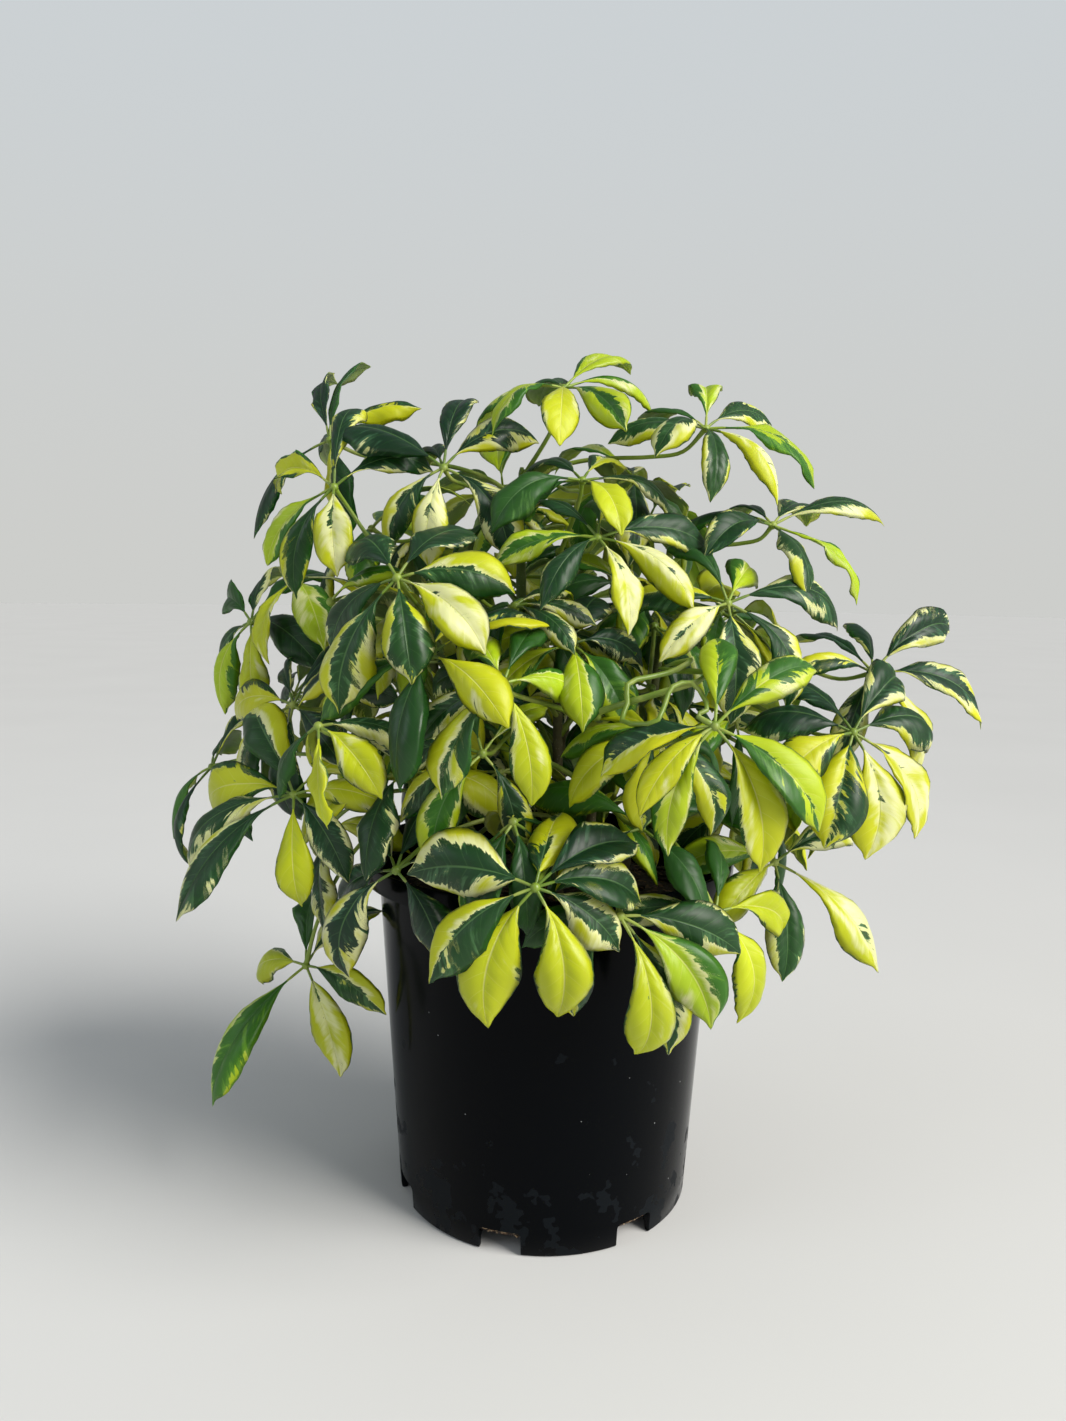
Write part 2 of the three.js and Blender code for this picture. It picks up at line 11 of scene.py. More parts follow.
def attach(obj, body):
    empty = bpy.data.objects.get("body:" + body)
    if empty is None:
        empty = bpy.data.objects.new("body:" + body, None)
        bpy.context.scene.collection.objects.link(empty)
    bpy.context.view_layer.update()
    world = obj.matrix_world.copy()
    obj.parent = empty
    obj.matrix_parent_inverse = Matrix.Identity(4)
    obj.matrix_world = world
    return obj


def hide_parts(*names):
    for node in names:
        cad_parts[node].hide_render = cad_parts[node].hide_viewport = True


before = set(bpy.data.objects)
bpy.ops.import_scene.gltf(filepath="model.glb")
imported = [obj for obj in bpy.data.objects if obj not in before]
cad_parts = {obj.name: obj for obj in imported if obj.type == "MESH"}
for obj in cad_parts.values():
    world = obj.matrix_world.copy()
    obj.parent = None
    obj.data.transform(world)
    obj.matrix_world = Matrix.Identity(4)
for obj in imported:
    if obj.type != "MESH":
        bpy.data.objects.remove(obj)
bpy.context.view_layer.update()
MM = 0.001


# ---------------------------------------------------------------- Camera
# A phone camera held a little above the leaves, looking slightly down at the pot, as in the photograph.
CAMERA_PLACE = Vector((0.0, -0.5709, 0.3332))
CAMERA_PITCH, CAMERA_YAW, CAMERA_ROLL = 0.1198, -0.0153, 0.0141
CAMERA_LENS = 26.81

sight = Vector((
    math.sin(CAMERA_YAW) * math.cos(CAMERA_PITCH),
    math.cos(CAMERA_YAW) * math.cos(CAMERA_PITCH),
    -math.sin(CAMERA_PITCH),
))
level = Vector((math.cos(CAMERA_YAW), -math.sin(CAMERA_YAW), 0))
upright = level.cross(sight)
camera_right = level * math.cos(CAMERA_ROLL) + upright * math.sin(CAMERA_ROLL)
camera_up = upright * math.cos(CAMERA_ROLL) - level * math.sin(CAMERA_ROLL)
camera = bpy.data.objects.new("camera", bpy.data.cameras.new("camera"))
camera.data.lens = CAMERA_LENS
camera.data.sensor_width = 36
camera.data.clip_start = 0.01
camera.matrix_world = Matrix((
    (camera_right.x, camera_up.x, -sight.x, CAMERA_PLACE.x),
    (camera_right.y, camera_up.y, -sight.y, CAMERA_PLACE.y),
    (camera_right.z, camera_up.z, -sight.z, CAMERA_PLACE.z),
    (0, 0, 0, 1),
))
bpy.context.collection.objects.link(camera)
bpy.context.scene.camera = camera


# ---------------------------------------------------------------- Nursery pot
# The pot is one injection moulding in black polypropylene: a tapered wall, a stepped collar and a foot
# ring with seven drainage notches. It is polished by its mould, dusty, and marked by dried water below.
POT_PROFILE_MM = [
    (0, 6), (74.5, 6), (76.8, 4.6), (76.8, 0.5), (77.2, 0), (79.4, 0), (80.1, 0.9), (80.9, 12.9),
    (81.0, 14.5), (81.2, 17.5), (84.5, 68), (88, 121.6), (91.15, 169.8), (91.35, 172.8), (91.9, 174.8),
    (93.2, 176.1), (95.4, 176.5), (99.6, 176.6), (100.7, 177.1), (101.1, 178.3), (101.6, 186.8),
    (101.3, 188.0), (100.4, 188.5), (99.5, 188.3), (99.1, 187.6), (98.6, 179.0), (97.6, 178.2),
    (91.0, 177.8), (89.9, 176.8), (89.6, 174), (79.3, 17), (79.1, 13.8), (78.9, 9.4), (77.4, 8), (0, 8),
]
POT_STEPS = 168
NOTCH_TURNS = [-66.4 + 360 * i / 7 for i in range(7)]
NOTCH_SIZE = (22 * MM, 22 * MM, 24 * MM)
NOTCH_ROUND = 2.2 * MM
FOOT_RADIUS = 80 * MM
WELD = 1e-6


def mesh_object(name, bm, *materials):
    """The bmesh as an object of that name, at the origin, with its materials."""
    mesh = bpy.data.meshes.new(name)
    bm.to_mesh(mesh)
    bm.free()
    for material in materials:
        mesh.materials.append(material)
    piece = bpy.data.objects.new(name, mesh)
    bpy.context.collection.objects.link(piece)
    return piece


def spun(profile_mm, steps):
    """A closed turned solid from (radius, height) pairs in mm that start and end on the axis."""
    bm = bmesh.new()
    ends = [bm.verts.new((r * MM, 0, z * MM)) for r, z in profile_mm]
    edges = [bm.edges.new(pair) for pair in zip(ends, ends[1:])]
    bmesh.ops.spin(
        bm, geom=ends + edges, cent=(0, 0, 0), axis=(0, 0, 1), angle=math.tau, steps=steps, use_merge=True
    )
    bmesh.ops.remove_doubles(bm, verts=bm.verts, dist=WELD)
    bmesh.ops.recalc_face_normals(bm, faces=bm.faces)
    return bm


def smooth_faces(piece, sharp_degrees):
    piece.data.shade_smooth()
    piece.data.set_sharp_from_angle(angle=math.radians(sharp_degrees))


def new_material(name):
    """A node material with its Principled shader."""
    material = bpy.data.materials.new(name)
    material.use_nodes = True
    return material, material.node_tree, material.node_tree.nodes["Principled BSDF"]


def node(tree, kind, **settings):
    """A node with its settings; names that aren't the node's own are input sockets, wired or set."""
    made = tree.nodes.new(kind)
    for name, value in settings.items():
        if hasattr(made, name):
            setattr(made, name, value)
            continue
        socket = made.inputs[int(name[1:])] if name[0] == "i" and name[1:].isdigit() else made.inputs[name]
        if isinstance(value, bpy.types.NodeSocket):
            tree.links.new(value, socket)
        else:
            socket.default_value = value
    return made


def maths(tree, operation, first, second=0.0, third=0.0, clamp=False):
    made = node(tree, "ShaderNodeMath", operation=operation, use_clamp=clamp, i0=first, i1=second, i2=third)
    return made.outputs[0]


def ramp(tree, value, low, high, to_low=0.0, to_high=1.0):
    """value from low to high, eased onto to_low to to_high."""
    made = node(
        tree, "ShaderNodeMapRange", interpolation_type="SMOOTHSTEP",
        i0=value, i1=low, i2=high, i3=to_low, i4=to_high,
    )
    return made.outputs[0]


def mixed(tree, share, first, second):
    """Two colours mixed by share."""
    made = node(tree, "ShaderNodeMix", data_type="RGBA")
    for socket, value in zip((made.inputs[0], made.inputs[6], made.inputs[7]), (share, first, second)):
        if isinstance(value, bpy.types.NodeSocket):
            tree.links.new(value, socket)
        else:
            socket.default_value = value
    return made.outputs[2]


def clouds(tree, place, scale, detail=2.0, roughness=0.5):
    made = node(
        tree, "ShaderNodeTexNoise", Vector=place, Scale=scale, Detail=detail, Roughness=roughness
    )
    return made.outputs[0]


def own_place(tree):
    return node(tree, "ShaderNodeTexCoord").outputs["Object"]


def paint(tree, shader, color, roughness):
    tree.links.new(color, shader.inputs["Base Color"])
    tree.links.new(roughness, shader.inputs["Roughness"])


def raise_surface(tree, shader, height, strength, distance, invert=False):
    bump = node(
        tree, "ShaderNodeBump", invert=invert, Strength=strength, Distance=distance, Height=height
    )
    tree.links.new(bump.outputs[0], shader.inputs["Normal"])


def black_plastic():
    material, tree, shader = new_material("black_plastic")
    place = own_place(tree)
    height = node(tree, "ShaderNodeSeparateXYZ", Vector=place).outputs["Z"]
    near_foot = ramp(tree, height, 0.075, 0.012)
    blotch = clouds(tree, place, 55.0, 3.0, 0.6)
    mark_edge = maths(tree, "SUBTRACT", 0.68, maths(tree, "MULTIPLY", near_foot, 0.16))
    water_mark = ramp(tree, maths(tree, "SUBTRACT", blotch, mark_edge), 0.0, 0.012)
    grime = clouds(tree, place, 14.0, 4.0, 0.6)
    grains = node(tree, "ShaderNodeTexVoronoi", Vector=place, Scale=210.0)
    grain_size = node(tree, "ShaderNodeSeparateColor", Color=grains.outputs["Color"])
    rare = maths(tree, "GREATER_THAN", grain_size.outputs[0], 0.93)
    speck = maths(tree, "MULTIPLY", ramp(tree, grains.outputs["Distance"], 0.1, 0.04), rare)
    film = mixed(
        tree, maths(tree, "MULTIPLY", water_mark, 0.5), (0.0007, 0.0012, 0.002, 1), (0.008, 0.011, 0.014, 1)
    )
    dusty = mixed(tree, maths(tree, "MULTIPLY", speck, 0.55), film, (0.5, 0.52, 0.52, 1))
    haze = maths(tree, "MULTIPLY_ADD", water_mark, 0.28, ramp(tree, grime, 0.35, 0.75, 0.13, 0.24))
    paint(tree, shader, dusty, maths(tree, "MULTIPLY_ADD", speck, 0.4, haze))
    stretch = node(tree, "ShaderNodeMapping", Vector=place, Scale=(1, 1, 0.12)).outputs[0]
    flow = clouds(tree, stretch, 60.0, 2.0)
    peel = clouds(tree, place, 420.0, 1.0)
    relief = maths(tree, "ADD", maths(tree, "MULTIPLY", flow, 0.7), maths(tree, "MULTIPLY", peel, 0.12))
    raise_surface(tree, shader, relief, 0.09, 0.0015)
    shader.inputs["Specular IOR Level"].default_value = 0.06
    return material


pot = mesh_object("nursery_pot", spun(POT_PROFILE_MM, POT_STEPS), black_plastic())
cutters = bmesh.new()
for turn in NOTCH_TURNS:
    block = bmesh.ops.create_cube(cutters, size=1)["verts"]
    bmesh.ops.scale(cutters, vec=NOTCH_SIZE, verts=block)
    radial = {e for v in block for e in v.link_edges if abs(e.verts[0].co.y - e.verts[1].co.y) > MM}
    rounded = bmesh.ops.bevel(
        cutters, geom=[e for e in radial if all(v.co.z > 0 for v in e.verts)],
        offset=NOTCH_ROUND, segments=4, profile=0.5, affect="EDGES", material=-1,
    )
    whole = {v for v in block if v.is_valid} | set(rounded["verts"])
    seat = Matrix.Rotation(math.radians(turn), 4, "Z") @ Matrix.Translation((0, -FOOT_RADIUS, 0))
    bmesh.ops.transform(cutters, matrix=seat, verts=list(whole))
notch_tool = mesh_object("notch_tool", cutters)
cut = pot.modifiers.new("notches", "BOOLEAN")
cut.object = notch_tool
cut.operation = "DIFFERENCE"
cut.solver = "EXACT"
notched = bpy.data.meshes.new_from_object(pot.evaluated_get(bpy.context.evaluated_depsgraph_get()))
pot.modifiers.clear()
pot.data = notched
bpy.data.objects.remove(notch_tool)
smooth_faces(pot, 38)
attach(pot, "root")
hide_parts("pot")


# ---------------------------------------------------------------- Potting mix
# A dark, damp mix of composted bark and fibre, filled to 25 mm under the rim round the stems' feet.
# It was poured in and has settled: chips lie loose on top, and roots have grown out to the notches.
MIX_STEPS = 120
MIX_RINGS = 30
MIX_EDGE_MM = 88.6
MIX_FOOT_MM, MIX_TOP_MM = 8.3, 163.5
CHIP_COUNT = 260
CHIP_SIZES_MM = (3, 9), (1.6, 4), (0.8, 2)
ROOTS_A_NOTCH = 5
MIX_SEED = 11


def potting_mix():
    material, tree, shader = new_material("potting_mix")
    place = own_place(tree)
    crumbs = node(tree, "ShaderNodeTexVoronoi", Vector=place, Scale=330.0)
    tones = node(tree, "ShaderNodeSeparateColor", Color=crumbs.outputs["Color"])
    damp = clouds(tree, place, 45.0, 4.0, 0.65)
    dark = mixed(tree, damp, (0.012, 0.008, 0.006, 1), (0.05, 0.03, 0.018, 1))
    flecks = mixed(tree, ramp(tree, tones.outputs[0], 0.75, 0.95), dark, (0.16, 0.09, 0.045, 1))
    paint(tree, shader, flecks, ramp(tree, damp, 0.3, 0.7, 0.95, 0.7))
    lumps = maths(tree, "SUBTRACT", clouds(tree, place, 260.0, 4.0, 0.7), crumbs.outputs["Distance"])
    raise_surface(tree, shader, lumps, 0.8, 0.002)
    return material


def root_skin():
    material, tree, shader = new_material("root_skin")
    place = own_place(tree)
    tint = mixed(tree, clouds(tree, place, 300.0, 3.0), (0.2, 0.12, 0.06, 1), (0.5, 0.38, 0.24, 1))
    tree.links.new(tint, shader.inputs["Base Color"])
    shader.inputs["Roughness"].default_value = 0.75
    return material


def grown_rod(bm, path, radii, sides, material_index=0):
    """A round rod along a list of points, by extruding its rings and closing both ends. Radii in metres."""
    ahead = (path[1] - path[0]).normalized()
    side = ahead.orthogonal().normalized()
    ring = bmesh.ops.create_circle(bm, cap_ends=False, segments=sides, radius=1)["verts"]
    shape = [v.co.copy() for v in ring]
    edges = list({e for v in ring for e in v.link_edges})
    made = []
    for step, (point, radius) in enumerate(zip(path, radii)):
        behind = path[max(step - 1, 0)]
        beyond = path[min(step + 1, len(path) - 1)]
        ahead = (beyond - behind).normalized()
        side = (side - ahead * side.dot(ahead)).normalized()
        other = ahead.cross(side)
        if step:
            grown = bmesh.ops.extrude_edge_only(bm, edges=edges)["geom"]
            ring_next = {v for v in grown if isinstance(v, bmesh.types.BMVert)}
            made += [f for f in grown if isinstance(f, bmesh.types.BMFace)]
            ring = [next(e.other_vert(v) for e in v.link_edges if e.other_vert(v) in ring_next) for v in ring]
            rims = [e for e in grown if isinstance(e, bmesh.types.BMEdge)]
            edges = [e for e in rims if all(v in ring_next for v in e.verts)]
        else:
            first_edges = list(edges)
        for v, corner in zip(ring, shape):
            v.co = point + (side * corner.x + other * corner.y) * radius
    for rim in (first_edges, edges):
        made += bmesh.ops.contextual_create(bm, geom=rim)["faces"]
    for face in made:
        face.material_index = material_index
        face.smooth = True
    return made


chance = random.Random(MIX_SEED)
noise.seed_set(MIX_SEED)  # Blender's vector noise starts from the clock without it.
soil = spun(
    [(0, MIX_FOOT_MM), (MIX_EDGE_MM * 0.87, MIX_FOOT_MM), (MIX_EDGE_MM * 0.88, 12), (MIX_EDGE_MM, 150)]
    + [((MIX_EDGE_MM - 0.3) * (1 - i / MIX_RINGS), MIX_TOP_MM) for i in range(MIX_RINGS + 1)],
    MIX_STEPS,
)
for v in soil.verts:
    if v.co.z > MIX_TOP_MM * MM - MM:
        out = Vector((v.co.x, v.co.y)).length / (MIX_EDGE_MM * MM)
        lumps = 2.2 * noise.noise(v.co * 90) + 1.1 * noise.noise(v.co * 260)
        hill = 2.6 * math.sin(math.pi * min(out, 1)) + lumps
        v.co.z += (hill - 1.5 * out ** 6) * MM
for _ in range(CHIP_COUNT):
    reach = MIX_EDGE_MM * 0.93 * MM * math.sqrt(chance.random())
    turn = chance.uniform(0, math.tau)
    chip = bmesh.ops.create_cube(soil, size=1)["verts"]
    bmesh.ops.scale(soil, vec=[chance.uniform(*size) * MM for size in CHIP_SIZES_MM], verts=chip)
    for v in chip:
        v.co += noise.noise_vector(v.co * 900 + Vector((reach, turn, 0)) * 40) * 0.7 * MM
    lie = Matrix.Rotation(chance.uniform(0, math.tau), 4, "Z")
    lie = lie @ Matrix.Rotation(chance.uniform(-0.5, 0.5), 4, "X")
    height = MIX_TOP_MM * MM + chance.uniform(1, 3.2) * MM
    spot = Vector((reach * math.cos(turn), reach * math.sin(turn), height))
    bmesh.ops.transform(soil, matrix=Matrix.Translation(spot) @ lie, verts=chip)
for turn in NOTCH_TURNS:
    for _ in range(ROOTS_A_NOTCH):
        start = chance.uniform(-8, 8)
        run = [
            Vector((
                start + chance.uniform(-3, 3), -77.2 + 2.4 * math.sin(k * 1.7),
                8.6 + 0.9 * k + chance.uniform(-0.4, 0.4),
            )) * MM
            for k in range(5)
        ]
        swing = Matrix.Rotation(math.radians(turn), 3, "Z")
        grown_rod(soil, [swing @ p for p in run], [0.5 * MM] * 5, 6, 1)
bmesh.ops.recalc_face_normals(soil, faces=soil.faces)
mix = mesh_object("potting_mix_fill", soil, potting_mix(), root_skin())
smooth_faces(mix, 45)
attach(mix, "root")
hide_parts("potting_mix")


# ---------------------------------------------------------------- Woody stems
# Six upright stems, grey-brown and corky where old and green near their tips. Each has a ring-shaped
# scar with a slight swelling wherever a leaf has grown, and stands rooted in the mix.
STEM_SIDES = 14
STEM_STEPS = 90
SCAR_SPACING_MM = 17
STEM_RING_SPREAD = 5.5 * MM


def bark():
    material, tree, shader = new_material("stem_bark")
    place = own_place(tree)
    height = node(tree, "ShaderNodeSeparateXYZ", Vector=place).outputs["Z"]
    patch = clouds(tree, place, 120.0, 4.0, 0.6)
    old = mixed(tree, patch, (0.045, 0.038, 0.014, 1), (0.15, 0.135, 0.06, 1))
    young = mixed(tree, patch, (0.055, 0.10, 0.012, 1), (0.15, 0.23, 0.03, 1))
    age = maths(tree, "ADD", height, maths(tree, "MULTIPLY", patch, 0.05))
    skin = mixed(tree, ramp(tree, age, 0.27, 0.36), old, young)
    pores = node(tree, "ShaderNodeTexVoronoi", Vector=place, Scale=420.0)
    pored = mixed(tree, ramp(tree, pores.outputs["Distance"], 0.2, 0.1, 0.0, 0.5), skin, (0.3, 0.26, 0.17, 1))
    paint(tree, shader, pored, ramp(tree, age, 0.27, 0.38, 0.75, 0.45))
    rings = node(tree, "ShaderNodeMapping", Vector=place, Scale=(1, 1, 6)).outputs[0]
    wrinkles = maths(tree, "ADD", clouds(tree, rings, 110.0, 3.0), maths(tree, "MULTIPLY", patch, 0.6))
    raise_surface(tree, shader, wrinkles, 0.5, 0.001)
    return material


def clean_copy(name):
    """The CAD node's mesh as a bmesh, its doubled corners merged."""
    bm = bmesh.new()
    bm.from_mesh(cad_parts[name].data)
    bmesh.ops.remove_doubles(bm, verts=bm.verts, dist=WELD)
    return bm


def ring_centres(points, spread):
    """Points that lie in rings, as the rings' centres and radii."""
    tree = KDTree(len(points))
    for i, point in enumerate(points):
        tree.insert(point, i)
    tree.balance()
    left, rings = set(range(len(points))), []
    while left:
        group, grow = set(), [min(left)]
        while grow:
            i = grow.pop()
            if i in left:
                left.discard(i)
                group.add(i)
                grow += [j for _, j, _ in tree.find_range(points[i], spread) if j in left]
        centre = sum((points[i] for i in group), Vector()) / len(group)
        rings.append((centre, sum((points[i] - centre).length for i in group) / len(group)))
    return rings


def through(points, steps):
    """A smooth run of steps + 1 points through the given ones."""
    ends = [2 * points[0] - points[1]] + points + [2 * points[-1] - points[-2]]
    spans = len(points) - 1
    run = []
    for k in range(steps + 1):
        at = min(k * spans / steps, spans - 1e-9)
        i, t = int(at), at - int(at)
        a, b, c, d = ends[i:i + 4]
        bent = (2 * a - 5 * b + 4 * c - d) * t * t + (3 * b - a - 3 * c + d) * t ** 3
        run.append(0.5 * (2 * b + (c - a) * t + bent))
    return run


stem_bark = bark()
stem_lines = {}
for name in sorted(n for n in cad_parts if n.startswith("stem_")):
    copy = clean_copy(name)
    rings = ring_centres([v.co.copy() for v in copy.verts], STEM_RING_SPREAD)
    rings.sort(key=lambda ring: ring[0].z)
    copy.free()
    line = through([centre for centre, _ in rings], STEM_STEPS)
    stem_lines[name] = line
    widths = []
    for k, point in enumerate(line):
        at = k / STEM_STEPS * (len(rings) - 1)
        i = min(int(at), len(rings) - 2)
        radius = rings[i][1] + (rings[i + 1][1] - rings[i][1]) * (at - i)
        scar = abs((point.z / MM / SCAR_SPACING_MM + 0.3 * noise.noise(point * 40)) % 1 - 0.5)
        swelling = 0.16 * math.exp(-((scar / 0.09) ** 2)) + 0.05 * noise.noise(point * 300)
        widths.append(radius * (0.97 + swelling))
    widths[-1] *= 0.55
    bm = bmesh.new()
    grown_rod(bm, line, widths, STEM_SIDES)
    bmesh.ops.recalc_face_normals(bm, faces=bm.faces)
    stem = mesh_object("woody_" + name, bm, stem_bark)
    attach(stem, "root")
    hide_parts(name)


# ---------------------------------------------------------------- Umbrella leaves
# Each leaf is a long green stalk with a whorl of glossy leaflets. The leaflets are thin and leathery,
# folded along the midrib, waved at the edge, and marked with cream and yellow that follows their veins.
BLANK_COLUMNS = 12
BLANK_ROWS = 32
LEAFLET_STALK = 0.125
LEAFLET_STALK_RADIUS = 0.72 * MM
BLADE_THICK = 0.5 * MM
RIB_HEIGHT = 0.55 * MM
BELLY, SHOULDER = 0.42, 0.76
BELLY_SHARE, SHOULDER_SHARE = 0.95, 0.86
STALK_SIDES = 10
STALK_STEPS = 36
BUD_RADIUS = 2.3 * MM
BUD_REACH, HUB_CROWD, HUB_NEAR = 6.5 * MM, 4 * MM, 4.5 * MM
STALK_RING_SPREAD = 3.4 * MM
MATCH_DEGREES = 14

# How a leaflet is coloured: the share of green across it, how far the green leans to one side, whether
# the green is at the edge instead, how yellow the rest is, and how fresh the green is.
EDGED = (0.6, 0.05, 0, 0.4, 0.1)
WIDE = (0.85, 0.12, 0, 0.45, 0.15)
HALF = (0.2, 1.3, 0, 0.6, 0.15)
HALF_TURNED = (0.2, -1.3, 0, 0.6, 0.15)
YELLOW = (-0.05, 0.1, 1, 0.85, 0.3)
LIME = (0.3, -0.45, 1, 0.8, 0.9)
CREAM = (-0.1, 0.35, 0, 0.1, 0.15)
GREEN = (1.6, 0.0, 0, 0.5, 0.35)
FRESH = (0.75, 0.5, 0, 0.8, 0.95)
# Deep green at its darkest tone. This is partly the leaflets' own dark green and partly painted shade, for
# leaflets that lie away from the light.
DARK_AND_SHADED = (1.0, 0.1, 0, 0.35, 0.0)
BROAD = (0.75, 0.35, 0, 0.3, 0.05)
BROAD_TURNED = (0.75, -0.35, 0, 0.35, 0.1)
HALF_FRESH = (0.2, -1.3, 0, 0.8, 0.85)
WIDE_FRESH = (0.5, 0.1, 0, 0.75, 0.8)
LIME_TURNED = (0.3, 0.45, 1, 0.8, 0.9)
RIMMED = (0.3, 0.0, 1, 0.95, 0.15)


def variegation():
    """The leaf pattern as a node group: from a leaflet's own map and marks to its colour and relief."""
    group = bpy.data.node_groups.new("variegation", "ShaderNodeTree")
    for name in ("Map", "Marks", "Tones"):
        group.interface.new_socket(name, in_out="INPUT", socket_type="NodeSocketVector")
    for name, kind in (("Color", "NodeSocketColor"), ("Relief", "NodeSocketFloat")):
        group.interface.new_socket(name, in_out="OUTPUT", socket_type=kind)

    def calc(*terms):
        return maths(group, *terms)

    source = group.nodes.new("NodeGroupInput")
    result = group.nodes.new("NodeGroupOutput")
    spot = node(group, "ShaderNodeSeparateXYZ", Vector=source.outputs["Map"])
    marks = node(group, "ShaderNodeSeparateXYZ", Vector=source.outputs["Marks"])
    tones = node(group, "ShaderNodeSeparateXYZ", Vector=source.outputs["Tones"])
    seed, share, lean = marks.outputs
    at_edge, yellow, fresh = tones.outputs
    across = calc("MULTIPLY_ADD", spot.outputs["X"], 2.0, -1.0)
    along = spot.outputs["Y"]
    side = calc("ABSOLUTE", across)
    half = calc("SIGN", across)

    # Side veins leave the midrib slanting towards the tip. Each panel between two of them turns green
    # or stays pale by itself, which steps the border from panel to panel.
    slant = calc("MULTIPLY", side, calc("MULTIPLY_ADD", side, 0.45, 1.05))
    vein = calc("SUBTRACT", calc("MULTIPLY", along, 8.5), slant)

    def leaf_noise(along_scale, across_scale, page, detail, roughness=0.55):
        """Noise over the leaflet that is drawn out along the side veins, different on each leaflet."""
        place = node(
            group, "ShaderNodeCombineXYZ", i0=calc("MULTIPLY", vein, along_scale),
            i1=calc("MULTIPLY", across, across_scale), i2=calc("MULTIPLY", seed, page),
        ).outputs[0]
        return calc("SUBTRACT", clouds(group, place, 1.0, detail, roughness), 0.5)

    panel_place = node(
        group, "ShaderNodeCombineXYZ", i0=calc("FLOOR", vein), i1=half,
        i2=calc("MULTIPLY", seed, 311.0),
    ).outputs[0]
    panel = node(group, "ShaderNodeTexWhiteNoise", noise_dimensions="3D", Vector=panel_place).outputs["Value"]
    feather = leaf_noise(3.1, 1.5, 37.0, 3.0)
    blot = leaf_noise(0.42, 1.3, 91.0, 1.0)
    fringe = leaf_noise(9.0, 3.0, 53.0, 2.0)
    jagged = calc("MULTIPLY_ADD", panel, 0.36, -0.18)
    for scale, part in ((0.75, feather), (1.5, blot), (0.22, fringe)):
        jagged = calc("MULTIPLY_ADD", part, scale, jagged)
    out = calc("ADD", side, calc("MULTIPLY", across, lean))
    inwards = calc("SUBTRACT", 1.06, out)
    own_side = calc("MULTIPLY", out, calc("SUBTRACT", 1.0, at_edge))
    turned = calc("ADD", own_side, calc("MULTIPLY", inwards, at_edge))
    tipward = calc("MULTIPLY_ADD", along, 0.3, -0.14)
    field = calc("ADD", turned, calc("ADD", tipward, jagged))
    border = calc("SUBTRACT", field, share)
    core = ramp(group, border, 0.02, -0.02)

    # A few dark flecks lie in the pale part near the midrib, and most pale edges keep a hairline of green.
    fleck_noise = leaf_noise(3.4, 5.0, 17.0, 2.0)
    near_foot = calc("MULTIPLY_ADD", calc("ADD", side, along), 0.16, 0.125)
    fleck = ramp(group, calc("SUBTRACT", fleck_noise, near_foot), 0.0, 0.02)
    hairline = calc("MULTIPLY_ADD", leaf_noise(2.0, 0.2, 71.0, 2.0), 0.22, side)
    hairline = ramp(group, hairline, 0.955, 0.985)
    green = calc("MAXIMUM", core, calc("MAXIMUM", fleck, hairline))

    shades = leaf_noise(2.6, 1.4, 63.0, 3.0, 0.62)
    shades = calc("MULTIPLY_ADD", calc("SUBTRACT", panel, 0.5), 0.22, shades)
    halo = ramp(group, calc("MULTIPLY_ADD", border, 0.35, shades), -0.07, 0.14)
    deep = mixed(group, fresh, (0.0035, 0.026, 0.0085, 1), (0.030, 0.130, 0.006, 1))
    mid = mixed(group, fresh, (0.036, 0.105, 0.050, 1), (0.105, 0.265, 0.014, 1))
    leaf_green = mixed(group, halo, deep, mid)
    far_out = calc("MULTIPLY_ADD", yellow, 0.9, calc("MULTIPLY", blot, 1.6))
    warm = ramp(group, calc("ADD", far_out, calc("MULTIPLY", border, 0.9)), 0.35, 1.0)
    golden = mixed(group, fresh, (0.51, 0.53, 0.006, 1), (0.34, 0.48, 0.008, 1))
    pale = mixed(group, warm, (0.68, 0.71, 0.33, 1), golden)
    painted = mixed(group, green, pale, leaf_green)

    rib_width = calc("MULTIPLY_ADD", along, -0.034, 0.048)
    rib = ramp(group, calc("SUBTRACT", side, rib_width), 0.014, -0.014)
    ridge = calc("ABSOLUTE", calc("SUBTRACT", calc("FRACT", vein), 0.5))
    fade = ramp(group, side, 0.95, 0.2)
    side_vein = calc("MULTIPLY", ramp(group, ridge, 0.455, 0.5), fade)
    veins = calc("MAXIMUM", rib, calc("MULTIPLY", side_vein, 0.4))
    vein_tint = mixed(group, green, (0.66, 0.68, 0.20, 1), (0.085, 0.19, 0.055, 1))
    coloured = mixed(group, calc("MULTIPLY", veins, 0.6), painted, vein_tint)
    quilt = calc("MULTIPLY", ramp(group, ridge, 0.5, 0.1), fade)
    relief = calc("MULTIPLY_ADD", quilt, 0.45, calc("MULTIPLY", rib, -0.8))
    group.links.new(coloured, result.inputs["Color"])
    group.links.new(relief, result.inputs["Relief"])
    return group


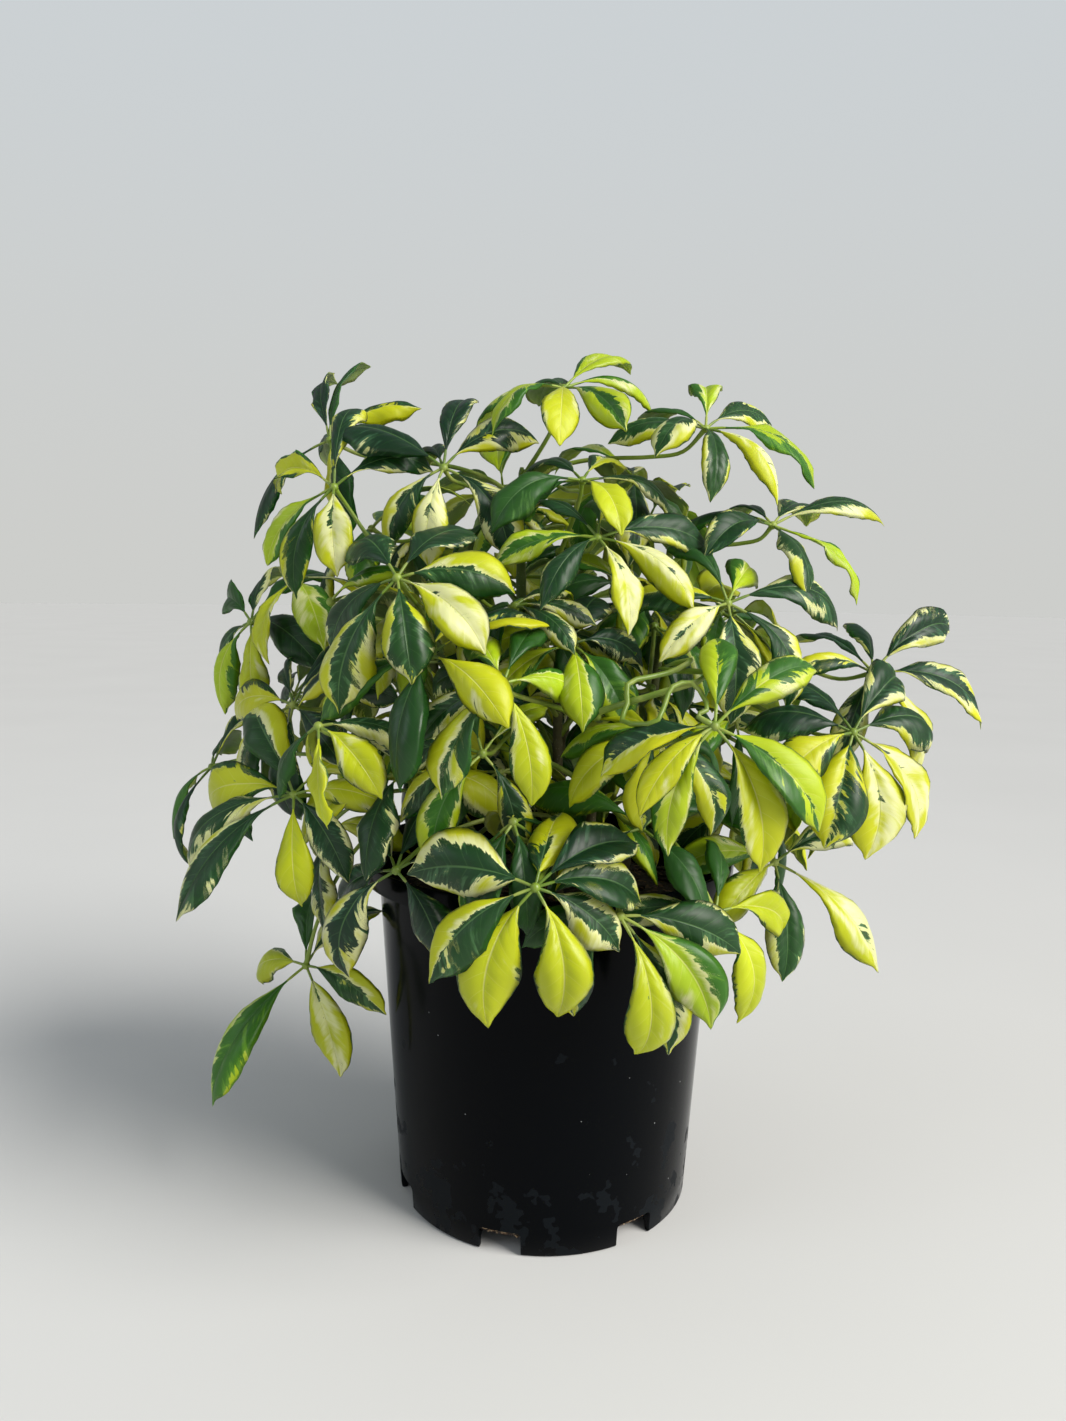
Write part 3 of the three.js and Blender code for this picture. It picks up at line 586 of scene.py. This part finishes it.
def leaf_skin(name, pattern, underside):
    material, tree, shader = new_material(name)
    own_map = node(tree, "ShaderNodeUVMap", uv_map="leaflet").outputs[0]
    marks = node(tree, "ShaderNodeAttribute", attribute_name="marks").outputs["Vector"]
    tones = node(tree, "ShaderNodeAttribute", attribute_name="tones").outputs["Vector"]
    painted = node(tree, "ShaderNodeGroup", node_tree=pattern, Map=own_map, Marks=marks, Tones=tones)
    place = own_place(tree)
    grain = clouds(tree, place, 700.0, 2.0)
    shade = clouds(tree, place, 26.0, 2.0)
    color = painted.outputs["Color"]
    if underside:
        color = mixed(tree, 0.42, color, (0.30, 0.36, 0.14, 1))
    dulled = node(tree, "ShaderNodeHueSaturation", Value=ramp(tree, shade, 0.3, 0.7, 0.86, 1.1), Color=color)
    low, high = (0.52, 0.64) if underside else (0.34, 0.5)
    paint(tree, shader, dulled.outputs[0], ramp(tree, shade, 0.3, 0.7, low, high))
    relief = maths(tree, "MULTIPLY_ADD", grain, 0.05, painted.outputs["Relief"])
    raise_surface(tree, shader, relief, 0.4, 0.0007, underside)
    shader.inputs["Subsurface Weight"].default_value = 0.2
    shader.inputs["Specular IOR Level"].default_value = 0.34
    shader.inputs["Subsurface Radius"].default_value = (0.7, 1.0, 0.15)
    shader.inputs["Subsurface Scale"].default_value = 0.0025
    return material


def stalk_skin():
    material, tree, shader = new_material("leaf_stalk")
    place = own_place(tree)
    tones = node(tree, "ShaderNodeAttribute", attribute_name="tones").outputs["Vector"]
    fresh = node(tree, "ShaderNodeSeparateXYZ", Vector=tones).outputs["Z"]
    streak = clouds(tree, place, 60.0, 3.0)
    green = mixed(tree, fresh, (0.10, 0.175, 0.018, 1), (0.25, 0.36, 0.035, 1))
    pale = mixed(tree, ramp(tree, streak, 0.45, 0.7), green, (0.36, 0.42, 0.09, 1))
    paint(tree, shader, pale, ramp(tree, streak, 0.3, 0.7, 0.32, 0.5))
    raise_surface(tree, shader, clouds(tree, place, 500.0, 2.0), 0.25, 0.0006)
    return material


def leaflet_blank(columns, rows):
    """One leaflet laid flat: x across from -1 to 1, y along from 0 to 1, z 1 above and -1 below."""
    bm = bmesh.new()
    own_map = bm.loops.layers.uv.new("leaflet")
    bmesh.ops.create_grid(bm, x_segments=columns, y_segments=rows, size=1)
    for v in bm.verts:
        along = v.co.y / 2 + 0.5
        v.co = (math.copysign(abs(v.co.x) ** 1.2, v.co.x), along - 0.055 * math.sin(math.tau * along), 1)
    for face in bm.faces:
        for corner in face.loops:
            corner[own_map].uv = (corner.vert.co.x / 2 + 0.5, corner.vert.co.y)
    below = bmesh.ops.duplicate(bm, geom=bm.verts[:] + bm.edges[:] + bm.faces[:])["geom"]
    for v in below:
        if isinstance(v, bmesh.types.BMVert):
            v.co.z = -1
    under = [f for f in below if isinstance(f, bmesh.types.BMFace)]
    bmesh.ops.reverse_faces(bm, faces=under)
    for face in bm.faces:
        on_stalk = face.calc_center_median().y < LEAFLET_STALK
        face.material_index = 2 if on_stalk else int(face in under)
        face.smooth = True
    for v in bm.verts:
        if abs(v.co.x) > 0.999:
            v.co.z = 0
        if v.co.y > 0.999:
            v.co = (0, 1, 0)
    bmesh.ops.remove_doubles(bm, verts=bm.verts, dist=1e-5)
    foot = [e for e in bm.edges if all(v.co.y < 1e-4 for v in e.verts)]
    for face in bmesh.ops.contextual_create(bm, geom=foot)["faces"]:
        face.material_index = 2
    bmesh.ops.recalc_face_normals(bm, faces=bm.faces)
    blank = bpy.data.meshes.new("leaflet_blank")
    bm.to_mesh(blank)
    bm.free()
    return blank


def find_hub(points):
    """The middle of the bud where the leaflets meet, which is where the leaf's corners lie closest."""
    tree = KDTree(len(points))
    for i, point in enumerate(points):
        tree.insert(point, i)
    tree.balance()
    hub = max(points, key=lambda point: len(tree.find_range(point, HUB_CROWD)))
    for _ in range(4):
        near = [point for point, _, _ in tree.find_range(hub, HUB_NEAR)]
        hub = sum(near, Vector()) / len(near)
    return hub


def parts_of_leaf(name):
    """A CAD leaf's hub, its leaflets' reach, arch, breadth and upper side, and its stalk's points."""
    bm = clean_copy(name)
    hub = find_hub([v.co.copy() for v in bm.verts])
    core = [v for v in bm.verts if (v.co - hub).length < BUD_REACH]
    bmesh.ops.delete(bm, geom=core, context="VERTS")
    left, groups = set(bm.verts), []
    while left:
        group, grow = [], [next(iter(left))]
        left.discard(grow[0])
        while grow:
            v = grow.pop()
            group.append(v.co.copy())
            for e in v.link_edges:
                other = e.other_vert(v)
                if other in left:
                    left.discard(other)
                    grow.append(other)
        groups.append(sorted(group, key=lambda p: -(p - hub).length))
    groups.sort(key=len)
    bm.free()
    stalk = groups.pop()
    leaflets = []
    for group in groups:
        tip = group[0]
        reach = tip - hub
        stations = []
        for trio, place in ((group[4:7], BELLY), (group[1:4], SHOULDER)):
            pairs = [(trio[0], trio[1], trio[2]), (trio[1], trio[2], trio[0]), (trio[2], trio[0], trio[1])]
            one, two, rib = max(pairs, key=lambda p: (p[0] - p[1]).length)
            middle = (one + two) / 2
            stations.append((place, middle, (middle - rib).normalized(), (one - two).length / 2))
        arch = sum(((m - hub - reach * s) / (s * (1 - s)) for s, m, _, _ in stations), Vector()) / 2
        half_width = (stations[0][3] / BELLY_SHARE + stations[1][3] / SHOULDER_SHARE) / 2
        leaflets.append({"reach": reach, "arch": arch, "half_width": half_width,
                         "above": [(s, n) for s, _, n, _ in stations]})
    leaflets.sort(key=lambda a: (round(math.atan2(a["reach"].z, a["reach"].x), 3), a["reach"].y))
    return hub, leaflets, stalk


def turn_about(axis, start, end):
    """The signed angle from start to end about axis."""
    start = (start - axis * start.dot(axis)).normalized()
    end = (end - axis * end.dot(axis)).normalized()
    return math.atan2(axis.dot(start.cross(end)), start.dot(end))


def bend_leaflet(bm, blank, hub, leaflet, habit, look, seed):
    """Bends a copy of the blank onto a leaflet of the CAD, and gives it its habit and its marks."""
    first = len(bm.verts)
    bm.from_mesh(blank)
    bm.verts.ensure_lookup_table()
    marks, tones = bm.verts.layers.float_vector["marks"], bm.verts.layers.float_vector["tones"]
    reach, arch, half_width = leaflet["reach"], leaflet["arch"], leaflet["half_width"]
    length = reach.length
    axis = arch.normalized()
    rolls = []
    for place, above in leaflet["above"]:
        ahead = (reach + arch * (1 - 2 * place)).normalized()
        rolls.append(turn_about(ahead, axis, above))
    share, lean, at_edge, yellow, fresh = look
    rows = {}
    for v in bm.verts[first:]:
        across, place, side = v.co
        key = round(place, 5)
        if key not in rows:
            s = place
            ahead = (reach + arch * (1 - 2 * s)).normalized()
            middle = hub + reach * s + arch * s * (1 - s)
            roll = rolls[0] + (rolls[1] - rolls[0]) * (s - BELLY) / (SHOULDER - BELLY)
            eased = min(max((s - 0.08) / (BELLY - 0.08), 0), 1)
            up = (axis - ahead * axis.dot(ahead)).normalized()
            up.rotate(Matrix.Rotation(roll * eased * eased * (3 - 2 * eased), 3, ahead))
            middle = middle + up * habit["arch"] * length * 6.75 * s * s * (1 - s)
            up.rotate(Matrix.Rotation(habit["twist"] * max(s - 0.3, 0), 3, ahead))
            t = min(max((s - LEAFLET_STALK) / (1 - LEAFLET_STALK), 0), 1)
            swell = max(math.sin(math.pi * t ** habit["widest"]), 0) ** habit["round"]
            swell *= 1 - habit["point"] * math.exp(-(((t - 0.95) / 0.05) ** 2))
            width = habit["spread"] * half_width * swell
            open_out = min(max((s - LEAFLET_STALK + 0.02) / 0.07, 0), 1)
            rows[key] = middle, ahead.cross(up), up, width, open_out * open_out * (3 - 2 * open_out), t
        middle, right, up, width, opened, t = rows[key]
        angle = math.pi * across / 2
        round_x = math.sin(angle) * LEAFLET_STALK_RADIUS
        round_z = side * math.cos(angle) * LEAFLET_STALK_RADIUS
        from_rib = abs(across)
        fold = habit["fold"] * (1 - 0.4 * t)
        curve = width * (fold * from_rib - habit["droop"] * from_rib ** 2.3)
        phase = habit["phase"] + (2.1 if across > 0 else 0)
        ripple = habit["wave"] * MM * from_rib ** 2 * math.sin(habit["waves"] * math.tau * t + phase)
        ripple += 0.3 * MM * from_rib ** 3 * math.sin(7.5 * math.tau * t + 3 * phase)
        ripple *= min(width / (7 * MM), 1)
        thick = side * BLADE_THICK / 2 * (1 - 0.6 * from_rib ** 4) * (1 - 0.7 * t ** 4)
        rib = RIB_HEIGHT * (1 - t) * math.exp(-((across / 0.13) ** 2)) if side < 0 else 0
        blade_x = across * max(width, 0.25 * MM * (1 - t)) * (1 - 0.1 * fold)
        blade_z = curve + ripple + thick - rib
        x = round_x + (blade_x - round_x) * opened
        z = round_z + (blade_z - round_z) * opened
        v.co = middle + right * x + up * z
        v[marks] = (seed, share, lean)
        v[tones] = (at_edge, yellow, fresh)


# The leaves nearest the viewer, each leaflet coloured as in the photograph: its direction as seen from
# the front, in degrees from the right, and its look. Others take theirs from their side of the plant.
FRONT_LEAVES = {
    1: [(13, DARK_AND_SHADED), (71, HALF), (182, EDGED), (224, HALF), (249, YELLOW), (280, YELLOW), (320, EDGED),
        (344, BROAD_TURNED)],
    2: [(23, WIDE_FRESH), (80, HALF_FRESH), (136, HALF_FRESH), (204, FRESH), (220, HALF_TURNED),
        (236, YELLOW), (257, LIME_TURNED), (286, YELLOW), (313, HALF_FRESH)],
    3: [(223, EDGED), (256, HALF), (272, YELLOW), (292, BROAD_TURNED), (309, LIME), (340, BROAD)],
    4: [(54, GREEN), (133, LIME), (192, DARK_AND_SHADED), (218, EDGED), (243, HALF), (284, YELLOW), (345, LIME)],
    5: [(36, DARK_AND_SHADED), (157, DARK_AND_SHADED), (228, BROAD), (281, WIDE), (321, CREAM), (353, HALF_TURNED)],
    6: [(12, DARK_AND_SHADED), (79, DARK_AND_SHADED), (181, RIMMED), (226, LIME), (252, WIDE), (274, FRESH), (285, CREAM)],
    7: [(19, HALF), (68, GREEN), (101, DARK_AND_SHADED), (218, LIME), (230, DARK_AND_SHADED), (339, WIDE)],
    8: [(19, EDGED), (74, DARK_AND_SHADED), (155, DARK_AND_SHADED), (175, DARK_AND_SHADED), (237, HALF), (264, CREAM), (306, EDGED)],
    9: [(23, LIME), (182, GREEN), (203, LIME), (220, LIME), (267, YELLOW), (319, WIDE_FRESH), (351, FRESH)],
    10: [(10, EDGED), (79, LIME), (175, GREEN), (189, WIDE), (213, EDGED), (271, WIDE), (310, CREAM),
         (333, HALF_FRESH)],
    11: [(1, WIDE_FRESH), (5, EDGED), (186, DARK_AND_SHADED), (197, DARK_AND_SHADED), (205, DARK_AND_SHADED), (283, EDGED), (316, LIME)],
    12: [(36, LIME), (136, GREEN), (182, HALF), (218, CREAM), (269, EDGED), (301, BROAD_TURNED),
         (343, BROAD_TURNED)],
    13: [(20, EDGED), (88, DARK_AND_SHADED), (162, DARK_AND_SHADED), (181, HALF), (241, EDGED), (287, CREAM), (334, EDGED)],
    14: [(33, WIDE), (147, DARK_AND_SHADED), (176, DARK_AND_SHADED), (210, RIMMED), (253, HALF), (281, CREAM), (304, CREAM),
         (352, WIDE)],
    15: [(6, EDGED), (106, YELLOW), (143, GREEN), (188, LIME), (215, YELLOW), (275, WIDE), (315, CREAM)],
    16: [(33, GREEN), (78, DARK_AND_SHADED), (168, GREEN), (231, WIDE), (250, LIME), (279, YELLOW), (330, DARK_AND_SHADED)],
    17: [(1, DARK_AND_SHADED), (39, DARK_AND_SHADED), (136, DARK_AND_SHADED), (203, RIMMED), (277, DARK_AND_SHADED), (319, DARK_AND_SHADED)],
    18: [(42, DARK_AND_SHADED), (126, HALF), (188, RIMMED), (216, EDGED), (232, BROAD), (276, YELLOW), (306, DARK_AND_SHADED),
         (355, YELLOW)],
    19: [(84, GREEN), (214, YELLOW), (237, FRESH), (290, CREAM), (329, HALF_TURNED)],
    20: [(55, GREEN), (237, DARK_AND_SHADED), (238, FRESH), (262, DARK_AND_SHADED), (309, DARK_AND_SHADED)],
    21: [(2, EDGED), (47, DARK_AND_SHADED), (180, BROAD), (220, DARK_AND_SHADED), (247, EDGED), (297, DARK_AND_SHADED)],
    22: [(30, LIME), (127, GREEN), (197, EDGED), (222, HALF), (246, WIDE_FRESH), (290, WIDE)],
    23: [(46, DARK_AND_SHADED), (149, GREEN), (226, LIME), (277, LIME), (303, FRESH), (341, DARK_AND_SHADED)],
    24: [(161, DARK_AND_SHADED), (197, WIDE_FRESH), (232, DARK_AND_SHADED), (287, CREAM), (323, CREAM), (354, DARK_AND_SHADED)],
    25: [(43, GREEN), (175, DARK_AND_SHADED), (213, GREEN), (300, YELLOW), (339, WIDE)],
}
# How broad the blades of some front leaves are, against the others.
BROADNESS = {
    1: 1.2, 2: 0.84, 4: 0.88, 5: 1.2, 6: 0.88, 7: 0.85, 10: 0.9, 11: 0.88, 13: 0.88, 14: 1.3,
    22: 0.88, 24: 0.84,
}
# The left side of the plant draws the deep green look more often than the others. This is partly painted
# shade, for the side that faces away from the window light.
HABITS = {"left": (DARK_AND_SHADED, EDGED, WIDE, DARK_AND_SHADED, HALF, YELLOW, EDGED),
          "top": (FRESH, HALF, EDGED, LIME, WIDE, HALF_TURNED, FRESH),
          "right": (EDGED, WIDE, HALF, CREAM, YELLOW, EDGED, GREEN),
          "inside": (GREEN, LIME, FRESH, EDGED, YELLOW, GREEN, HALF)}


def side_of_plant(hub):
    if hub.z > 0.36:
        return "top"
    if hub.x < -0.06:
        return "left"
    if hub.x > 0.06:
        return "right"
    return "inside"


def leaf_habit(grow):
    """How one blade is shaped: its folds, waves, outline and twist."""
    return {
        "fold": grow.uniform(0.15, 0.75), "droop": grow.uniform(0.25, 0.9), "wave": grow.uniform(0.4, 2.2),
        "waves": grow.uniform(1.1, 2.6), "phase": grow.uniform(0, math.tau), "arch": grow.uniform(-0.01, 0.1),
        "widest": grow.uniform(1.1, 1.5), "round": grow.uniform(0.74, 0.94), "point": grow.uniform(0.2, 0.6),
        "twist": grow.uniform(-0.7, 0.7), "spread": grow.uniform(0.9, 1.12),
    }


def own_look(look, leaf_fresh, grow):
    """A leaflet's look with small differences of its own."""
    share, lean, at_edge, yellow, fresh = look
    return (
        share * grow.uniform(0.85, 1.15), lean * grow.uniform(0.8, 1.2), at_edge,
        min(max(yellow + grow.uniform(-0.2, 0.2), 0), 1), min(max(fresh + leaf_fresh, 0), 1),
    )


def leaf_mesh():
    """An empty mesh for leaves, with the map and the marks that their finish reads."""
    bm = bmesh.new()
    bm.loops.layers.uv.new("leaflet")
    bm.verts.layers.float_vector.new("marks")
    bm.verts.layers.float_vector.new("tones")
    return bm


def grow_stalk(bm, run, hub, leaf_fresh, sides):
    """The leaf's stalk, swollen where it clasps the stem and under its whorl, and the bud at its end."""
    known = len(bm.verts)
    steps = len(run) - 1
    widths = []
    for k in range(steps + 1):
        t = k / steps
        widths.append((1.4 - 0.4 * t + 1.1 * math.exp(-t * 28) + 0.7 * math.exp(-((1 - t) * 26))) * MM)
    grown_rod(bm, run, widths, sides, 2)
    bud = bmesh.ops.create_icosphere(bm, subdivisions=2, radius=BUD_RADIUS)["verts"]
    bmesh.ops.translate(bm, vec=hub, verts=bud)
    for face in {f for v in bud for f in v.link_faces}:
        face.material_index = 2
        face.smooth = True
    bm.verts.ensure_lookup_table()
    tones = bm.verts.layers.float_vector["tones"]
    for v in bm.verts[known:]:
        v[tones] = (0, 0.5, 0.5 + 2 * leaf_fresh)


pattern = variegation()
leaf_face = leaf_skin("leaf_face", pattern, False)
leaf_back = leaf_skin("leaf_back", pattern, True)
leaf_stalk = stalk_skin()
blank = leaflet_blank(BLANK_COLUMNS, BLANK_ROWS)
hubs = []
for name in sorted(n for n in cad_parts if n.startswith("umbrella_leaf_")):
    number = int(name[-2:])
    grow = random.Random(100 + number)
    hub, leaflets, stalk_points = parts_of_leaf(name)
    hubs.append(hub)
    bm = leaf_mesh()
    leaf_fresh = grow.uniform(-0.12, 0.12)
    for leaflet in leaflets:
        habit = leaf_habit(grow)
        habit["spread"] *= BROADNESS.get(number, 1)
        seen = math.degrees(math.atan2(leaflet["reach"].z, leaflet["reach"].x)) % 360
        look = grow.choice(HABITS[side_of_plant(hub)])
        for turn, wanted in FRONT_LEAVES.get(number, ()):
            if abs((seen - turn + 180) % 360 - 180) < MATCH_DEGREES:
                look = wanted
        bend_leaflet(bm, blank, hub, leaflet, habit, own_look(look, leaf_fresh, grow), grow.random())
    rings = ring_centres(stalk_points, STALK_RING_SPREAD)
    chain, rest = [hub], [centre for centre, _ in rings]
    while rest:
        nearest = min(rest, key=lambda p: (p - chain[-1]).length)
        rest.remove(nearest)
        chain.append(nearest)
    stem_end = chain[-1]
    inner = min((p for line in stem_lines.values() for p in line), key=lambda p: (p - stem_end).length)
    chain.append(stem_end.lerp(inner, 0.6))
    chain.reverse()
    grow_stalk(bm, through(chain, STALK_STEPS), hub, leaf_fresh, STALK_SIDES)
    umbrella = mesh_object(f"umbrella_{number:02d}", bm, leaf_face, leaf_back, leaf_stalk)
    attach(umbrella, "root")
    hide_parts(name)
bpy.data.meshes.remove(blank)


# ---------------------------------------------------------------- Inner leaves
# The rest of the foliage: shaded, somewhat smaller umbrella leaves that fill the crown between the
# outer ones. They grow on the same stems, and a few points of each are kept clear of the CAD's pieces.
INNER_COLUMNS, INNER_ROWS = 8, 22
INNER_ON_STEM = {
    "stem_tall": 7, "stem_middle": 7, "stem_left": 8, "stem_right": 7, "stem_front": 6, "stem_back": 6,
}
INNER_TRIES = 90
CROWN_MIDDLE, CROWN_HALF = Vector((0, 0, 0.278)), Vector((0.175, 0.125, 0.106))
HUB_SPACING = 31 * MM
CLEAR_OF_CAD, HUB_CLEAR_OF_CAD, CLEAR_OF_INNER = 2.2 * MM, 5 * MM, 5 * MM
UPWARDS = Vector((0, 0, 1))
LOWEST_START, LOWEST_HUB = 0.185, 0.205
INNER_REACH_MM, INNER_SIZE_MM = (38, 105), (42, 58)
INNER_FALL, INNER_RISE = (22, 55), (5, 60)
INNER_STALK_STEPS, INNER_STALK_SIDES = 16, 8
FREE_STEP = 4
STALK_BENDS_MM = (0, 8, -8, 16, -16)
LEAFLET_PUSHES = (0, 0.12, -0.12, 0.24, -0.24)
EVEN_TURN = 2.39996

corners, triangles = [], []
for cad_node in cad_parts.values():
    first = len(corners)
    corners += [v.co.copy() for v in cad_node.data.vertices]
    triangles += [tuple(first + i for i in face.vertices) for face in cad_node.data.polygons]
standing = BVHTree.FromPolygons(corners, triangles)
grown_points = []


def is_clear(points, beside):
    """Whether points are clear of the CAD's pieces and of the inner leaves grown so far."""
    for point in points:
        if standing.find_nearest(point, CLEAR_OF_CAD)[0] is not None:
            return False
    return not any((p - q).length < CLEAR_OF_INNER for p in points for q in beside)


def whorl_leaflet(axis, turn, fall, length, width, bank):
    """One leaflet of a whorl, as parts_of_leaf gives it, bowed out and down by its own weight."""
    across = Vector((1, 0, 0)) if abs(axis.x) < 0.9 else Vector((0, 1, 0))
    across = (across - axis * across.dot(axis)).normalized()
    other = axis.cross(across)
    chord = (across * math.cos(turn) + other * math.sin(turn)) * math.cos(fall) - axis * math.sin(fall)
    sag = UPWARDS - chord * chord.z
    bow = axis * 0.5 + sag * (0.6 / max(sag.length, 0.3))
    bow = (bow - chord * bow.dot(chord)).normalized()
    above = (axis - chord * axis.dot(chord)).normalized()
    above.rotate(Matrix.Rotation(bank, 3, chord))
    return {"reach": chord * length, "arch": bow * length * 0.55, "half_width": width / 2,
            "above": [(BELLY, above), (SHOULDER, above)]}


def leaflet_points(hub, leaflet):
    points = []
    side = leaflet["reach"].cross(leaflet["above"][0][1]).normalized() * leaflet["half_width"] * 0.85
    for s in (0.25, 0.4, 0.55, 0.7, 0.85, 1.0):
        middle = hub + leaflet["reach"] * s + leaflet["arch"] * s * (1 - s)
        points.append(middle)
        if 0.3 < s < 0.9:
            points += [middle + side, middle - side]
    return points


blank = leaflet_blank(INNER_COLUMNS, INNER_ROWS)
for stem_number, (stem_name, wanted) in enumerate(INNER_ON_STEM.items()):
    grow = random.Random(500 + stem_number)
    line = [p for p in stem_lines[stem_name] if p.z > LOWEST_START]
    bm = leaf_mesh()
    made = 0
    for attempt in range(INNER_TRIES):
        start = line[int(grow.random() * (len(line) - 1))]
        turn = attempt * EVEN_TURN + grow.uniform(-0.3, 0.3)
        rise = math.radians(grow.uniform(*INNER_RISE))
        reach = grow.uniform(*INNER_REACH_MM) * MM
        out = Vector((math.cos(turn) * math.cos(rise), math.sin(turn) * math.cos(rise), math.sin(rise)))
        hub = start + out * reach
        away = hub - CROWN_MIDDLE
        inside = sum((away[k] / CROWN_HALF[k]) ** 2 for k in range(3))
        if inside > 1 or hub.z < LOWEST_HUB or min((hub - other).length for other in hubs) < HUB_SPACING:
            continue
        if standing.find_nearest(hub, HUB_CLEAR_OF_CAD)[0] is not None:
            continue
        axis = (Vector((away.x, away.y, 0)) * 5 + UPWARDS * 0.9
                + Vector([grow.uniform(-0.3, 0.3) for _ in range(3)])).normalized()
        stalk = None
        for bend in STALK_BENDS_MM:
            sideways = out.cross(UPWARDS).normalized() * bend * MM
            handle = start + out * reach * 0.4 + UPWARDS * reach * 0.2 + sideways
            near_hub = hub - axis * reach * 0.25 + sideways * 0.4
            run = []
            for k in range(INNER_STALK_STEPS + 1):
                t = k / INNER_STALK_STEPS
                run.append(start * (1 - t) ** 3 + handle * 3 * t * (1 - t) ** 2
                           + near_hub * 3 * t * t * (1 - t) + hub * t ** 3)
            if is_clear(run[FREE_STEP:], grown_points):
                stalk = run
                break
        if stalk is None:
            continue
        count = grow.choice((6, 7, 7, 8))
        first_turn = grow.uniform(0, math.tau)
        size = grow.uniform(*INNER_SIZE_MM) * MM
        whorl, own_points = [], []
        for k in range(count):
            for push in LEAFLET_PUSHES:
                leaflet = whorl_leaflet(
                    axis, first_turn + math.tau * k / count + push,
                    math.radians(grow.uniform(*INNER_FALL)) + abs(push), size * grow.uniform(0.8, 1.05),
                    size * grow.uniform(0.3, 0.38), grow.uniform(-0.25, 0.25),
                )
                points = leaflet_points(hub, leaflet)
                if is_clear(points, grown_points):
                    whorl.append(leaflet)
                    own_points += points
                    break
        if len(whorl) < 3:
            continue
        leaf_fresh = grow.uniform(-0.12, 0.12)
        for leaflet in whorl:
            look = grow.choice(HABITS["inside"])
            habit = leaf_habit(grow)
            bend_leaflet(bm, blank, hub, leaflet, habit, own_look(look, leaf_fresh, grow), grow.random())
        grow_stalk(bm, stalk, hub, leaf_fresh, INNER_STALK_SIDES)
        hubs.append(hub)
        grown_points += own_points + stalk[FREE_STEP:]
        made += 1
        if made == wanted:
            break
    inner_name = "inner_leaves_" + stem_name.removeprefix("stem_")
    inner = mesh_object(inner_name, bm, leaf_face, leaf_back, leaf_stalk)
    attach(inner, "root")
bpy.data.meshes.remove(blank)


# ---------------------------------------------------------------- Studio
# A pale card floor and a pale backdrop, with soft window light from the front right and a little sky
# light from the left. The backdrop's own light is kept low, so the black plastic stays black.
FLOOR_RADIUS = 14
HORIZON, ZENITH = (0.61, 0.616, 0.597, 1), (0.60, 0.64, 0.665, 1)
AMBIENT = 0.52


def card():
    material, tree, shader = new_material("card")
    place = own_place(tree)
    tint = mixed(tree, clouds(tree, place, 3.0, 2.0), (0.65, 0.65, 0.645, 1), (0.69, 0.69, 0.685, 1))
    tree.links.new(tint, shader.inputs["Base Color"])
    shader.inputs["Roughness"].default_value = 0.7
    shader.inputs["Specular IOR Level"].default_value = 0.2
    return material


floor = bmesh.new()
bmesh.ops.create_circle(floor, cap_ends=True, segments=128, radius=FLOOR_RADIUS)
bmesh.ops.translate(floor, vec=(0, 0, -0.3 * MM), verts=floor.verts)
mesh_object("floor", floor, card())

world = bpy.data.worlds.new("studio")
world.use_nodes = True
sky = world.node_tree
seen = node(sky, "ShaderNodeLightPath").outputs["Is Camera Ray"]
background = sky.nodes["Background"]
way = node(sky, "ShaderNodeTexCoord").outputs["Generated"]
height = node(sky, "ShaderNodeSeparateXYZ", Vector=way).outputs["Z"]
sky.links.new(mixed(sky, ramp(sky, height, -0.02, 0.55), HORIZON, ZENITH), background.inputs["Color"])
sky.links.new(ramp(sky, seen, 0.0, 1.0, AMBIENT, 1.0), background.inputs["Strength"])
bpy.context.scene.world = world

sun = bpy.data.objects.new("window_sun", bpy.data.lights.new("window_sun", "SUN"))
sun.data.energy = 3.4
sun.data.angle = math.radians(36)
sun.data.color = (1.0, 0.975, 0.93)
sun.rotation_euler = Vector((-1.0, 0.5, -0.85)).to_track_quat("-Z", "Y").to_euler()
bpy.context.collection.objects.link(sun)
for name, place, aim, size, power, tint in (
    ("window", (0.95, -0.75, 0.62), (0, 0, 0.2), (0.35, 0.7), 5, (1.0, 0.95, 0.86)),
    ("sky", (-1.5, -0.7, 1.0), (0, 0, 0.25), (0.9, 1.1), 5, (0.84, 0.92, 1.0)),
):
    lamp = bpy.data.objects.new(name, bpy.data.lights.new(name, "AREA"))
    lamp.data.shape = "RECTANGLE"
    lamp.data.size, lamp.data.size_y = size
    lamp.data.energy = power
    lamp.data.color = tint
    lamp.location = place
    lamp.rotation_euler = (Vector(aim) - Vector(place)).to_track_quat("-Z", "Y").to_euler()
    bpy.context.collection.objects.link(lamp)
bpy.context.scene.view_settings.view_transform = "Standard"
